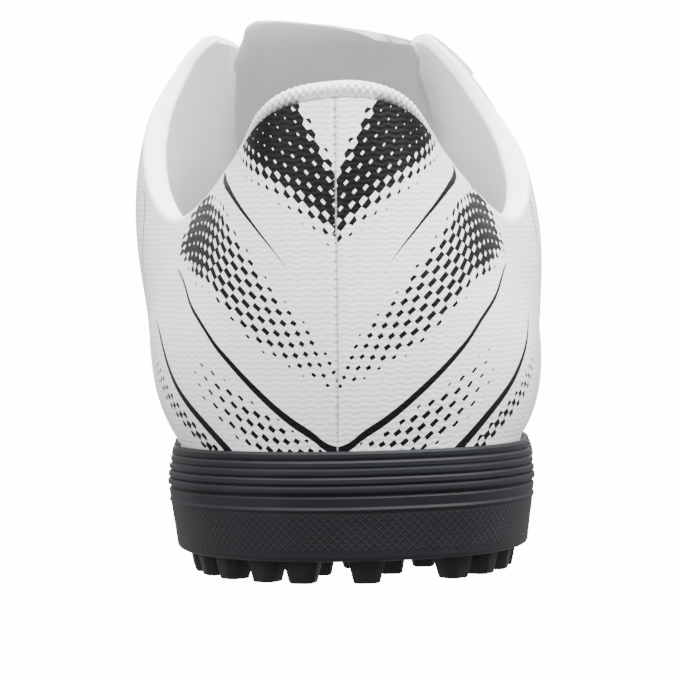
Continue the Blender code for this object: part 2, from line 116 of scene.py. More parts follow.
def edit_clean(obj: bpy.types.Object, distance: float = 0.00002, turn: bool = True) -> None:
    """Merge doubles in edit mode and turn the faces outwards.

    Args:
        obj: Mesh object to clean.
        distance: Largest distance between points that become one.
        turn: Whether the faces are recalculated to point outwards.
    """
    activate(obj)
    bpy.ops.object.mode_set(mode="EDIT")
    bpy.ops.mesh.select_all(action="SELECT")
    bpy.ops.mesh.remove_doubles(threshold=distance)
    if turn:
        bpy.ops.mesh.normals_make_consistent(inside=False)
    bpy.ops.object.mode_set(mode="OBJECT")


def join_pieces(pieces: Sequence[bpy.types.Object], name: str) -> bpy.types.Object:
    """Join several objects into one piece.

    Args:
        pieces: Objects to join; the first one is kept.
        name: Name of the joined piece.

    Returns:
        The joined object.
    """
    deselect_all()
    for piece in pieces:
        piece.select_set(True)
    bpy.context.view_layer.objects.active = pieces[0]
    if len(pieces) > 1:
        bpy.ops.object.join()
    joined = bpy.context.view_layer.objects.active
    joined.name = joined.data.name = name
    return joined


def shaped_grid(
    name: str,
    columns: int,
    rows: int,
    shape: Callable[[float, float], Vector],
    print_place: Callable[[float, float, bool], tuple[float, float]] | None = None,
) -> bpy.types.Object:
    """Grid primitive whose points are laid onto a curved surface.

    Args:
        name: Name of the piece.
        columns: Faces along the first way.
        rows: Faces along the second way.
        shape: Point for a pair of shares from 0 to 1.
        print_place: Map coordinates for the shares; its last argument says
            whether the face lies in the first half of the first way.

    Returns:
        The grid object, with a map named "lay" where print_place is given.
    """
    deselect_all()
    bpy.ops.mesh.primitive_grid_add(x_subdivisions=columns, y_subdivisions=rows, size=1)
    grid = bpy.context.object
    mesh = grid.data
    flat = np.empty(len(mesh.vertices) * 3)
    mesh.vertices.foreach_get("co", flat)
    shares = flat.reshape(-1, 3)[:, :2] + 0.5
    points = [shape(float(a), float(b)) for a, b in shares]
    if print_place is not None:
        layer = mesh.uv_layers.active or mesh.uv_layers.new()
        layer.name = "lay"
        for face in mesh.polygons:
            first_half = np.mean([shares[v][0] for v in face.vertices]) < 0.5
            for corner in face.loop_indices:
                a, b = shares[mesh.loops[corner].vertex_index]
                layer.data[corner].uv = print_place(float(a), float(b), bool(first_half))
    mesh.vertices.foreach_set("co", np.array([tuple(p) for p in points]).ravel())
    mesh.update()
    grid.name = mesh.name = name
    return grid


def swept_tube(
    name: str,
    centres: Sequence[Vector],
    across: Sequence[tuple[Vector, Vector]],
    sides: int,
    radius: Callable[[float, float], tuple[float, float]],
) -> bpy.types.Object:
    """Closed tube along a line with a section of its own at every place.

    Args:
        name: Name of the piece.
        centres: Points of the line.
        across: Two unit vectors square to the line at each point.
        sides: Points round a section.
        radius: Half sizes for a share along and an angle share round.

    Returns:
        The tube, with a map named "lay" in metres along and round it.
    """
    steps = len(centres) - 1
    lengths = [0.0]
    for before, after in zip(centres, centres[1:]):
        lengths.append(lengths[-1] + (after - before).length)

    def place(a: float, b: float) -> Vector:
        """Point of the tube's surface."""
        k = min(round(a * steps), steps)
        height, width = radius(a, b)
        angle = 2 * math.pi * b
        up, side = across[k]
        return centres[k] + height * math.cos(angle) * up + width * math.sin(angle) * side

    def lay(a: float, b: float, _: bool) -> tuple[float, float]:
        """Metres along the tube and share round it."""
        return lengths[min(round(a * steps), steps)], b

    tube = shaped_grid(name, steps, sides, place, lay)
    edit_clean(tube)
    activate(tube)
    bpy.ops.object.mode_set(mode="EDIT")
    bpy.ops.mesh.select_all(action="DESELECT")
    bpy.ops.mesh.select_mode(type="EDGE")
    bpy.ops.mesh.select_non_manifold(extend=False, use_wire=False, use_multi_face=False,
                                     use_non_contiguous=False, use_verts=False)
    bpy.ops.mesh.edge_face_add()
    bpy.ops.mesh.select_all(action="SELECT")
    bpy.ops.mesh.normals_make_consistent(inside=False)
    bpy.ops.object.mode_set(mode="OBJECT")
    activate(tube)
    bpy.ops.object.shade_smooth()
    return tube


def face_out(obj: bpy.types.Object) -> None:
    """Turn a piece's faces away from the middle of the shoe, as a whole."""
    total = sum(f.normal.dot(Vector((f.center.x, f.center.y, 0))) * f.area for f in obj.data.polygons)
    if total < 0:
        obj.data.flip_normals()


def squared(angle: float) -> float:
    """Radius of a rounded square at an angle, 1 in the middle of its sides."""
    return (abs(math.cos(angle)) ** 3 + abs(math.sin(angle)) ** 3) ** (-1 / 3)


# Finishes


class Field:
    """A number on a surface, joined with others by arithmetic in a node tree."""

    def __init__(self, tree: bpy.types.NodeTree, source: object) -> None:
        """Wrap a socket or a plain number."""
        self.tree = tree
        self.source = source

    def _join(self, operation: str, *others: object) -> "Field":
        """Math node on this value and others.

        Args:
            operation: Blender's name of the operation.
            *others: Further inputs, as fields or numbers.

        Returns:
            The result as a new field.
        """
        node = self.tree.nodes.new("ShaderNodeMath")
        node.operation = operation
        for index, value in enumerate((self, *others)):
            raw = value.source if isinstance(value, Field) else value
            if isinstance(raw, (int, float)):
                node.inputs[index].default_value = raw
            else:
                self.tree.links.new(raw, node.inputs[index])
        return Field(self.tree, node.outputs[0])

    def __add__(self, other: object) -> "Field":
        """Sum."""
        return self._join("ADD", other)

    def __sub__(self, other: object) -> "Field":
        """Difference."""
        return self._join("SUBTRACT", other)

    def __mul__(self, other: object) -> "Field":
        """Product."""
        return self._join("MULTIPLY", other)

    def __truediv__(self, other: object) -> "Field":
        """Quotient."""
        return self._join("DIVIDE", other)

    def abs(self) -> "Field":
        """Size without sign."""
        return self._join("ABSOLUTE")

    def sin(self) -> "Field":
        """Sine."""
        return self._join("SINE")

    def fract(self) -> "Field":
        """Part after the point."""
        return self._join("FRACT")

    def low(self, other: object) -> "Field":
        """Smaller of two."""
        return self._join("MINIMUM", other)

    def high(self, other: object) -> "Field":
        """Larger of two."""
        return self._join("MAXIMUM", other)

    def curve(self, points: Line) -> "Field":
        """Smooth curve through a few points, level outside them.

        Args:
            points: Pairs of value and result, in rising order.

        Returns:
            The curve's result.
        """
        xs, ys = zip(*points)
        wide, low, tall = xs[-1] - xs[0], min(ys), max(ys) - min(ys)
        node = self.tree.nodes.new("ShaderNodeFloatCurve")
        line = node.mapping.curves[0]
        line.points[0].location = (0.0, (ys[0] - low) / tall)
        line.points[1].location = (1.0, (ys[-1] - low) / tall)
        for x, y in points[1:-1]:
            line.points.new((x - xs[0]) / wide, (y - low) / tall)
        node.mapping.update()
        share = (self - xs[0]) / wide
        self.tree.links.new(share.source, node.inputs["Value"])
        return Field(self.tree, node.outputs["Value"]) * tall + low

    def ramp(self, start: float, end: float) -> "Field":
        """Smooth step from 0 at start to 1 at end."""
        node = self.tree.nodes.new("ShaderNodeMapRange")
        node.interpolation_type = "SMOOTHSTEP"
        low, high, flip = (start, end, False) if start < end else (end, start, True)
        node.inputs["From Min"].default_value = low
        node.inputs["From Max"].default_value = high
        node.inputs["To Min"].default_value = 1.0 if flip else 0.0
        node.inputs["To Max"].default_value = 0.0 if flip else 1.0
        self.tree.links.new(self.source, node.inputs["Value"])
        return Field(self.tree, node.outputs["Result"])


def blend(tree: bpy.types.NodeTree, factor: Field, first: object, second: object) -> object:
    """Colour socket that goes from one colour to another.

    Args:
        tree: Node tree that gets the node.
        factor: Share of the second colour.
        first: Colour or colour socket at 0.
        second: Colour or colour socket at 1.

    Returns:
        The output socket.
    """
    node = tree.nodes.new("ShaderNodeMix")
    node.data_type = "RGBA"
    sockets = [s for s in node.inputs if s.type == "RGBA"]
    tree.links.new(factor.source, node.inputs["Factor"])
    for socket, value in zip(sockets, (first, second)):
        if isinstance(value, tuple):
            socket.default_value = value
        else:
            tree.links.new(value, socket)
    return next(s for s in node.outputs if s.type == "RGBA")


@dataclass(frozen=True)
class Finish:
    """A material: colours, gloss and the relief of its surface."""

    name: str
    colour: tuple[float, float, float]
    second: tuple[float, float, float]
    roughness: float
    coat: Coat
    relief: float
    scale: float
    sheen: float = 0.0
    specular: float = 0.35
    mottle_scale: float = 90.0
    hatch_low: float = 0.0060
    hatch_high: float = 0.0138
    hatch_blur: float = 0.0008

    def make(self) -> bpy.types.Material:
        """Node material with mottled colour, gloss and relief.

        Returns:
            The new material.
        """
        material = bpy.data.materials.new(self.name)
        material.use_nodes = True
        tree = material.node_tree
        shader = tree.nodes["Principled BSDF"]
        shader.inputs["Sheen Weight"].default_value = self.sheen
        shader.inputs["Specular IOR Level"].default_value = self.specular
        place = tree.nodes.new("ShaderNodeTexCoord")
        mottle = self._noise(tree, place.outputs["Object"], self.mottle_scale, 4.0)
        mixed = blend(tree, mottle.ramp(0.35, 0.75), (*self.colour, 1), (*self.second, 1))
        tree.links.new(mixed, shader.inputs["Base Color"])
        gloss = mottle * 0.12 + (self.roughness - 0.06)
        tree.links.new(gloss.source, shader.inputs["Roughness"])
        height = self._relief(tree, place)
        bump = tree.nodes.new("ShaderNodeBump")
        bump.inputs["Strength"].default_value = 1.0
        bump.inputs["Distance"].default_value = self.relief
        tree.links.new(height.source, bump.inputs["Height"])
        tree.links.new(bump.outputs["Normal"], shader.inputs["Normal"])
        return material

    def _noise(self, tree: bpy.types.NodeTree, vector: object, scale: float, detail: float) -> Field:
        """Noise over a coordinate.

        Args:
            tree: Node tree that gets the node.
            vector: Socket with the coordinate.
            scale: Spots per metre.
            detail: Finer layers.

        Returns:
            The noise from 0 to 1.
        """
        node = tree.nodes.new("ShaderNodeTexNoise")
        node.inputs["Scale"].default_value = scale
        node.inputs["Detail"].default_value = detail
        tree.links.new(vector, node.inputs["Vector"])
        return Field(tree, node.outputs["Fac"])

    def _parts(self, tree: bpy.types.NodeTree, vector: object) -> tuple[Field, Field, Field]:
        """The three parts of a coordinate, in units of this finish's scale."""
        split = tree.nodes.new("ShaderNodeSeparateXYZ")
        tree.links.new(vector, split.inputs[0])
        return tuple(Field(tree, split.outputs[k]) * self.scale for k in range(3))

    def _relief(self, tree: bpy.types.NodeTree, place: bpy.types.Node) -> Field:
        """Height of the relief from 0 to 1.

        Args:
            tree: Node tree of the material.
            place: Texture coordinate node.

        Returns:
            The height field.
        """
        fine = self._noise(tree, place.outputs["Object"], self.scale * 1.3, 3.0)
        x, y, z = self._parts(tree, place.outputs["Object"])
        along, round_way, _ = self._parts(tree, place.outputs["UV"])
        turn = 2 * math.pi
        if self.coat is Coat.RIPPLE:
            wave = (round_way * turn + (along * turn * 0.31).sin() * 0.9).sin()
            wobble = (along * turn * 0.43 + (round_way * turn * 0.5).sin() * 1.2).sin()
            return wave * 0.17 + wobble * 0.12 + fine * 0.3
        if self.coat is Coat.RUBBER:
            return fine
        if self.coat is Coat.HATCH:
            first = ((along + round_way) * turn).sin().ramp(0.55, 0.95)
            second = ((along - round_way) * turn).sin().ramp(0.55, 0.95)
            height = round_way / self.scale
            low, high, blur = self.hatch_low, self.hatch_high, self.hatch_blur
            band = height.ramp(low, low + blur) * height.ramp(high, high - blur)
            return first.high(second) * band + fine * 0.25
        if self.coat is Coat.CLOTH:
            return ((x + y) * turn).sin() * 0.25 + ((z + y) * turn).sin() * 0.25 + fine * 0.5
        if self.coat is Coat.BRAID:
            slant = ((along + round_way) * turn).sin() * 0.3
            return slant + ((along - round_way) * turn).sin() * 0.3 + fine * 0.3
        return fine


SOLE_RUBBER = Finish(
    "sole_rubber", (0.006, 0.007, 0.009), (0.010, 0.011, 0.014), 0.6,
    Coat.HATCH, 0.00016, 620, specular=0.22,
)
LUG_RUBBER = Finish(
    "lug_rubber", (0.006, 0.007, 0.009), (0.010, 0.011, 0.014), 0.62,
    Coat.RUBBER, 0.00008, 900, specular=0.22,
)
LINING = Finish(
    "collar_lining", (0.94, 0.945, 0.945), (0.92, 0.925, 0.925), 0.9,
    Coat.CLOTH, 0.00005, 1400, sheen=0.2,
)
TONGUE_LINING = Finish(
    "tongue_lining", (0.42, 0.42, 0.40), (0.39, 0.39, 0.37), 0.85,
    Coat.CLOTH, 0.00003, 2600, sheen=0.3,
)
TONGUE_FACE = Finish(
    "tongue_face", (0.74, 0.74, 0.74), (0.71, 0.71, 0.71), 0.7,
    Coat.CLOTH, 0.0001, 700, sheen=0.1,
)
EDGE_KNIT = Finish(
    "edge_knit", (0.80, 0.805, 0.78), (0.68, 0.69, 0.665), 0.85,
    Coat.SMOOTH, 0.00012, 2600, sheen=0.3,
)
INSOLE_CLOTH = Finish(
    "insole_cloth", (0.30, 0.30, 0.29), (0.24, 0.24, 0.235), 0.9,
    Coat.CLOTH, 0.00012, 900, sheen=0.2,
)
LACE_BRAID = Finish(
    "lace_braid", (0.74, 0.74, 0.74), (0.69, 0.69, 0.69), 0.8,
    Coat.BRAID, 0.0002, 900, sheen=0.2,
)
STITCH_THREAD = Finish(
    "stitch_thread", (0.42, 0.42, 0.42), (0.36, 0.36, 0.36), 0.7,
    Coat.SMOOTH, 0.00005, 3000,
)
PALE_THREAD = Finish(
    "pale_thread", (0.70, 0.70, 0.70), (0.62, 0.62, 0.62), 0.7,
    Coat.SMOOTH, 0.00005, 3000,
)
PLAIN_SYNTHETIC = Finish(
    "plain_synthetic", (0.755, 0.76, 0.765), (0.735, 0.74, 0.745), 0.46,
    Coat.RIPPLE, 0.00012, 950,
)


# The shoe's own shape

COLUMNS = ("sole_x", "sole_y", "top_x", "top_y", "top_z",
           "low_out", "low_up", "reach", "high_out", "high_up")
HEEL_ROW = (.012, .000, .000, .028, .822, .044, .196, .30, .039, -.232)
TOE_ROW = (-.089, 1.00, -.039, .697, .586, .044, .125, .66, .022, -.071)
MEDIAL_ROWS = (
    (-.133, .010, -.106, .034, .811, .044, .196, .30, .039, -.230),
    (-.233, .030, -.178, .052, .780, .050, .188, .30, .044, -.214),
    (-.327, .066, -.228, .093, .728, .085, .150, .30, .067, -.196),
    (-.384, .115, -.284, .147, .680, .100, .130, .30, .067, -.179),
    (-.402, .175, -.344, .203, .637, .110, .125, .30, .078, -.161),
    (-.392, .245, -.406, .259, .625, .115, .120, .30, .085, -.161),
    (-.364, .308, -.460, .304, .690, .130, .125, .30, .090, -.179),
    (-.338, .371, -.470, .350, .804, .155, .130, .35, .138, -.214),
    (-.326, .427, -.412, .388, .911, .190, .150, .45, .222, -.223),
    (-.334, .479, -.313, .416, .996, .189, .155, .50, .290, -.188),
    (-.368, .535, -.194, .455, .938, .200, .152, .50, .322, -.143),
    (-.424, .598, -.156, .517, .839, .178, .134, .55, .274, -.107),
    (-.472, .664, -.133, .580, .741, .145, .134, .60, .200, -.080),
    (-.486, .731, -.117, .633, .661, .115, .134, .62, .144, -.063),
    (-.470, .806, -.100, .668, .614, .078, .125, .64, .100, -.054),
    (-.420, .878, -.081, .685, .596, .056, .125, .65, .067, -.054),
    (-.311, .946, -.060, .694, .588, .044, .125, .66, .033, -.063),
)
LATERAL_ROWS = (
    (.167, .010, .100, .034, .814, .044, .196, .30, .039, -.230),
    (.278, .030, .172, .056, .783, .044, .188, .30, .044, -.214),
    (.361, .066, .228, .098, .728, .070, .155, .30, .067, -.196),
    (.410, .115, .289, .150, .676, .080, .140, .30, .067, -.179),
    (.420, .175, .353, .203, .628, .085, .135, .30, .061, -.161),
    (.418, .245, .412, .259, .612, .078, .130, .30, .067, -.161),
    (.412, .308, .450, .304, .665, .078, .138, .30, .084, -.170),
    (.405, .371, .444, .346, .741, .078, .143, .35, .100, -.196),
    (.410, .427, .372, .385, .848, .096, .161, .45, .165, -.214),
    (.428, .483, .228, .416, .988, .140, .161, .50, .255, -.188),
    (.462, .542, .156, .455, .938, .135, .152, .50, .265, -.143),
    (.497, .605, .106, .517, .839, .118, .134, .55, .267, -.107),
    (.514, .671, .083, .580, .741, .125, .134, .60, .233, -.080),
    (.507, .740, .061, .633, .661, .105, .134, .62, .167, -.063),
    (.470, .810, .033, .668, .614, .089, .125, .64, .111, -.054),
    (.394, .877, .009, .685, .596, .067, .125, .65, .067, -.054),
    (.228, .944, -.014, .694, .588, .050, .125, .66, .033, -.063),
)
SOLE_SIDE = (
    (.00, 1.000, .00), (.12, .985, .00), (.26, .905, .00), (.34, .850, .10),
    (.40, .800, .30), (.47, .745, .16), (.53, .700, .00), (.66, .655, .00),
    (.77, .670, .00), (.84, .735, .12), (.92, .875, .46), (1.0, 1.050, 1.0),
)
EYELET_ROWS = (11.3, 11.95, 12.6, 13.25, 13.9, 14.55)

# Tongue, toe end first: share of LENGTH, medial and lateral edge as shares of
# BALL_WIDTH
TONGUE_ROWS = (
    (.745, -.155, .085), (.710, -.185, .120), (.670, -.205, .145), (.620, -.225, .170),
    (.570, -.240, .190), (.520, -.250, .203), (.475, -.252, .194), (.443, -.250, .177),
)
# Free top of the tongue: steps back and up from its last row on the medial side,
# up on the lateral side, both edges, all as shares of BALL_WIDTH, and the share
# of the row's crown that is taken off
TONGUE_TOP = ((.030, .038, .033, -.247, .182, .2), (.052, .082, .063, -.243, .196, .5),
              (.060, .106, .081, -.232, .196, .7), (.062, .114, .088, -.216, .187, .75))
MEDIAL_LUGS = (.95, 1.95, 2.85, 3.6, 4.25, 4.85, 5.4, 5.9, 6.4, 10.3, 10.9, 11.5, 12.05,
               12.6, 13.15, 13.7, 14.25, 14.8, 15.35, 15.9, 16.5, 17.1, 17.75)
LATERAL_LUGS = (.2, 2.0, 2.9, 3.65, 4.3, 4.9, 5.45, 5.95, 6.45, 10.3, 10.9, 11.5, 12.05,
                12.6, 13.15, 13.7, 14.25, 14.8, 15.35, 15.9, 16.45, 16.95, 17.45)
# Inner lugs: share of LENGTH, and how many stand across
INNER_LUGS = ((.085, 2), (.130, 3), (.175, 2), (.220, 3), (.535, 2), (.580, 3), (.625, 4),
              (.670, 5), (.715, 4), (.760, 5), (.805, 4), (.850, 3), (.895, 2))


@dataclass
class Last:
    """The shoe's form: plan of the sole, wall of the upper and sole heights."""

    length: float = 0.286
    ball_width: float = 0.090
    instep_height: float = 0.112
    sole_height: float = 0.0254
    toe_spring: float = 0.0115
    lug_height: float = 0.0045
    rim_thickness: float = 0.0015
    rim_inset: float = 0.0010
    gap: float = 0.0003
    rim_clear: float = 0.0004
    floor_share: float = 0.45
    side_blur: float = 0.025
    wall: float = 0.0021
    collar_pad: float = 0.0066
    throat_crown: float = 0.002
    seam_start: float = 0.0008
    seam_lean: float = 0.030
    seam_top: float = 0.0915
    shift: Vector = field(default_factory=Vector)

    def __post_init__(self) -> None:
        """Work out the spline and the shift into the frame's own place."""
        units = np.array((self.ball_width, self.length, self.ball_width, self.length,
                          self.instep_height, self.ball_width, self.instep_height, 1.0,
                          self.ball_width, self.instep_height))
        self.knots = units * np.array((HEEL_ROW,) + MEDIAL_ROWS + (TOE_ROW,) + LATERAL_ROWS[::-1])
        self.rows = len(self.knots)
        matrix = 4 * np.eye(self.rows)
        for i in range(self.rows):
            matrix[i, i - 1] += 1
            matrix[i, (i + 1) % self.rows] += 1
        change = np.roll(self.knots, -1, 0) - 2 * self.knots + np.roll(self.knots, 1, 0)
        self.bends = np.linalg.solve(matrix, 6 * change)
        self.foot_inset = self.rim_inset + self.rim_thickness + self.gap
        self._handles: dict[float, tuple[Vector, Vector, Vector, Vector]] = {}
        low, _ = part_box("outsole")
        plan = [self.sole_point(u / 4, 0, 0) for u in range(4 * self.rows)]
        self.shift = Vector((low.x - min(p.x for p in plan), low.y - min(p.y for p in plan), 0))
        self._handles.clear()
        self._us = np.linspace(0, self.rows, self.rows * 8 + 1)
        self._levels = np.linspace(0, 1, 11)
        self._lengths = np.array([self.round_length(float(t)) for t in self._levels])
        self.closed = self._closed_tree()

    def section(self, u: float) -> dict[str, float]:
        """The section table's values at row u of the closed loop."""
        i = math.floor(u)
        b = u - i
        a = 1 - b
        i, j = i % self.rows, (i + 1) % self.rows
        values = a * self.knots[i] + b * self.knots[j]
        values = values + ((a ** 3 - a) * self.bends[i] + (b ** 3 - b) * self.bends[j]) / 6
        return dict(zip(COLUMNS, values.tolist()))

    def outward(self, u: float) -> Vector:
        """Plan normal of the sole's widest line."""
        before, after = self.section(u - 0.01), self.section(u + 0.01)
        along_x, along_y = after["sole_x"] - before["sole_x"], after["sole_y"] - before["sole_y"]
        return Vector((-along_y, along_x, 0)).normalized()

    def sole_point(self, u: float, inset: float, z: float) -> Vector:
        """Point inside the sole's widest line at a height."""
        here = self.section(u)
        return Vector((here["sole_x"], here["sole_y"], z)) - inset * self.outward(u) + self.shift

    def heights_at(self, share: float) -> tuple[float, float, float]:
        """Underside, floor and rim heights of the sole at a share of its length."""
        along, rims, lifts = zip(*SOLE_SIDE)
        around = [share + self.side_blur * k for k in (-1, -.5, 0, .5, 1)]
        rim = self.sole_height * float(np.mean(np.interp(around, along, rims)))
        under = self.lug_height + self.toe_spring * float(np.mean(np.interp(around, along, lifts)))
        return under, under + self.floor_share * (rim - under), rim

    def sole_heights(self, u: float) -> tuple[float, float, float]:
        """Underside, floor and rim heights of the sole at row u."""
        return self.heights_at(self.section(u)["sole_y"] / self.length)

    def handles(self, u: float) -> tuple[Vector, Vector, Vector, Vector]:
        """Four control points of the upper's outer face from rim to edge."""
        key = round(u % self.rows, 6)
        if key not in self._handles:
            here = self.section(u)
            foot = self.sole_point(u, self.foot_inset, self.sole_heights(u)[2] + self.rim_clear)
            top = Vector((here["top_x"], here["top_y"], here["top_z"])) + self.shift
            normal = self.outward(u)
            low = foot + here["low_out"] * normal + Vector((0, 0, here["low_up"]))
            high = top + here["reach"] * (foot - top) * Vector((1, 1, 0)) + here["high_out"] * normal
            high.z = top.z + here["high_up"]
            self._handles[key] = (foot, low, high, top)
        return self._handles[key]

    def wall_point(self, u: float, t: float) -> Vector:
        """Outer face of the upper, t from 0 at the rim to 1 at the edge."""
        foot, low, high, top = self.handles(u)
        s = 1 - t
        return s ** 3 * foot + 3 * s * s * t * low + 3 * s * t * t * high + t ** 3 * top

    def wall_normal(self, u: float, t: float) -> Vector:
        """Outward normal of the upper's outer face."""
        t = min(t, 0.98)
        round_way = self.wall_point(u + 0.02, t) - self.wall_point(u - 0.02, t)
        up_way = self.wall_point(u, t + 0.02) - self.wall_point(u, t)
        return up_way.cross(round_way).normalized()

    def padding(self, u: float, t: float) -> float:
        """How much of the collar's padding the wall has, from 0 to 1."""
        rows = min(u % self.rows, self.rows - u % self.rows)
        round_share = np.interp(rows, (0, 2, 6, 8, 9.3, 10.5), (.8, .8, .9, .8, .2, 0))
        edge_share = np.interp(rows, (4, 6.5), (.3, .8))
        up_share = np.interp(t, (0, .3, .56, .81, .91, 1), (0, 0, .6, 1, .95, edge_share))
        return float(round_share * up_share)

    def thickness(self, u: float, t: float) -> float:
        """Thickness of the padded wall."""
        return self.wall + (self.collar_pad - self.wall) * self.padding(u, t)

    def row(self, side: Side, row: float) -> float:
        """Loop value of a row on one side."""
        return row if side is Side.MEDIAL else self.rows - row

    def edge_reach(self, u: float, reach: float) -> float:
        """Share t that lies a distance below the wall's edge."""
        _, _, high, top = self.handles(u)
        return 1 - reach / (3 * (top - high).length)

    def round_length(self, t: float) -> np.ndarray:
        """Distance round the wall from the heel's centre along one share of its height."""
        points = [self.wall_point(float(u), t) for u in self._us]
        return np.cumsum([0.0] + [(b - a).length for a, b in zip(points, points[1:])])

    def round_place(self, u: float, medial: bool, t: float = 0.45) -> float:
        """Signed distance round the wall, lateral side positive."""
        k = min(max(t, 0.0), 1.0) * (len(self._levels) - 1)
        i = min(int(k), len(self._levels) - 2)
        line = self._lengths[i] + (k - i) * (self._lengths[i + 1] - self._lengths[i])
        column = u / self.rows * (len(self._us) - 1)
        j = min(int(column), len(self._us) - 2)
        s = float(line[j] + (column - j) * (line[j + 1] - line[j]))
        return -s if medial else float(line[-1]) - s

    def from_seam(self, s: float, z: float) -> float:
        """Distance from the heel's seam, which leans a little."""
        return s + self.seam_start + (self.seam_top - z) * self.seam_lean

    def seam_row(self, z: float) -> float:
        """Loop value of the heel's seam at a height."""
        s = self.seam_start + (self.seam_top - z) * self.seam_lean
        return float(np.interp(s, self._lengths[4], self._us))

    def _closed_tree(self) -> BVHTree:
        """Search tree of the outer face with the throat bridged over."""
        per_row, levels = 2, 15
        count = self.rows * per_row
        points = []
        for t in np.linspace(.3, 1, levels).tolist():
            points += [self.wall_point(c / per_row, t) for c in range(count)]
        faces = []
        for r in range(levels - 1):
            for c in range(count):
                d = (c + 1) % count
                faces.append((r * count + c, r * count + d, (r + 1) * count + d, (r + 1) * count + c))
        rim, first, last = (levels - 1) * count, 10 * per_row, count // 2
        for c in range(first, last):
            left, right = points[rim + c], points[rim + (count - c) % count]
            crown = self.throat_crown * (last - c) / (last - first)
            points.append((left + right) / 2 + Vector((0, 0, crown)))
        for c in range(first, last - 1):
            middle = levels * count + c - first
            other = count - c
            faces.append((rim + c, rim + c + 1, middle + 1, middle))
            faces.append((middle, middle + 1, rim + other - 1, rim + other))
        end = levels * count + last - 1 - first
        faces += [(rim + last - 1, rim + last, end), (end, rim + last, rim + last + 1)]
        return BVHTree.FromPolygons([tuple(p) for p in points], faces)

    def drop_on(self, x: float, y: float, lift: float) -> tuple[Vector, Vector]:
        """Point off the closed last's face and the face's normal there."""
        place, normal, _, _ = self.closed.ray_cast(Vector((x, y, 2 * self.instep_height)), Vector((0, 0, -1)))
        if normal.z < 0:
            normal = -normal
        return place + lift * normal, normal


# How square a padded plate's edge is: 1 is an ellipse, 0 a box
PILLOW_POWER = 0.45


def pillow(
    name: str,
    steps: int,
    around: int,
    middle: Callable[[float, float], tuple[Vector, Vector]],
    half: Callable[[float, float], float],
) -> bpy.types.Object:
    """Plate with rounded edges round a curved middle surface.

    Args:
        name: Name of the piece.
        steps: Faces along the plate.
        around: Faces round its section.
        middle: Point and normal for shares along and across.
        half: Half thickness for shares along and across.

    Returns:
        The closed plate.
    """
    def place(a: float, b: float) -> Vector:
        """Point of the plate's skin."""
        angle = 2 * math.pi * b
        q = (1 - math.cos(angle)) / 2
        point, normal = middle(a, q)
        fullness = math.copysign(abs(math.sin(angle)) ** PILLOW_POWER, math.sin(angle))
        return point + half(a, q) * fullness * normal

    plate = shaped_grid(name, steps, around, place, lambda a, b, _: (a, b))
    edit_clean(plate)
    activate(plate)
    bpy.ops.object.shade_smooth_by_angle(angle=math.radians(60))
    return plate


class Assembly:
    """Common work of all sub-assemblies."""

    def __init__(self, last: Last) -> None:
        """Keep the shoe's form for the pieces."""
        self.last = last

    def finish_piece(self, obj: bpy.types.Object, slot: str, nodes: Sequence[str] = ()) -> bpy.types.Object:
        """Let the piece ride on the root and report it.

        Args:
            obj: Finished piece.
            slot: Material slot of the record; not used.
            nodes: CAD nodes that the piece stands for.

        Returns:
            The same piece.
        """
        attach(obj, "root")
        if nodes:
            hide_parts(*nodes)
        LOG.info("piece %s with %d faces", obj.name, len(obj.data.polygons))
        return obj

    def toe_share(self, u: float, b: float) -> float:
        """Wall share across the toe panel, which is highest over the toes."""
        top = float(np.interp(min(u, self.last.rows - u), *TOE_PANEL_TOP))
        return TOE_PANEL_LOW + b * (top - TOE_PANEL_LOW)

    def wall_grid(
        self,
        name: str,
        columns: Sequence[float],
        rows: int,
        share: Callable[[float, float], float],
        lift: Callable[[float, float, float, float], float],
    ) -> bpy.types.Object:
        """Sheet that follows the upper's outer face, with the print's map.

        Args:
            name: Name of the sheet.
            columns: Loop values of the sheet's columns.
            rows: Faces from the rim's side to the edge's side.
            share: Wall share t for a loop value and a share of the sheet's width.
            lift: Distance off the face for loop value, t, seam distance and height.

        Returns:
            The sheet.
        """
        last = self.last
        count = len(columns) - 1

        def shape(a: float, b: float) -> Vector:
            """Point of the sheet, the part inside the cup included."""
            u = columns[min(round(a * count), count)]
            t = share(u, b)
            if t < 0:
                _, floor, rim = last.sole_heights(u)
                foot = rim + last.rim_clear
                return last.sole_point(u, last.foot_inset, foot + t * (foot - floor - last.gap))
            point = last.wall_point(u, t)
            medial = u % last.rows < last.rows / 2
            c = last.from_seam(last.round_place(u % last.rows, medial, t), point.z)
            return point + lift(u % last.rows, t, c, point.z) * last.wall_normal(u, t)

        def lay(a: float, b: float, first_half: bool) -> tuple[float, float]:
            """Distance round the heel and height."""
            u = columns[min(round(a * count), count)]
            whole = columns[0] == 0 and columns[-1] == last.rows
            medial = first_half if whole else u % last.rows < last.rows / 2
            return last.round_place(u if whole else u % last.rows, medial, share(u, b)), shape(a, b).z

        return shaped_grid(name, count, rows, shape, lay)


@dataclass(frozen=True)
class Crease:
    """Soft trough in the wall between two places given as row and share."""

    side: Side
    start: tuple[float, float]
    end: tuple[float, float]
    width: float
    depth: float


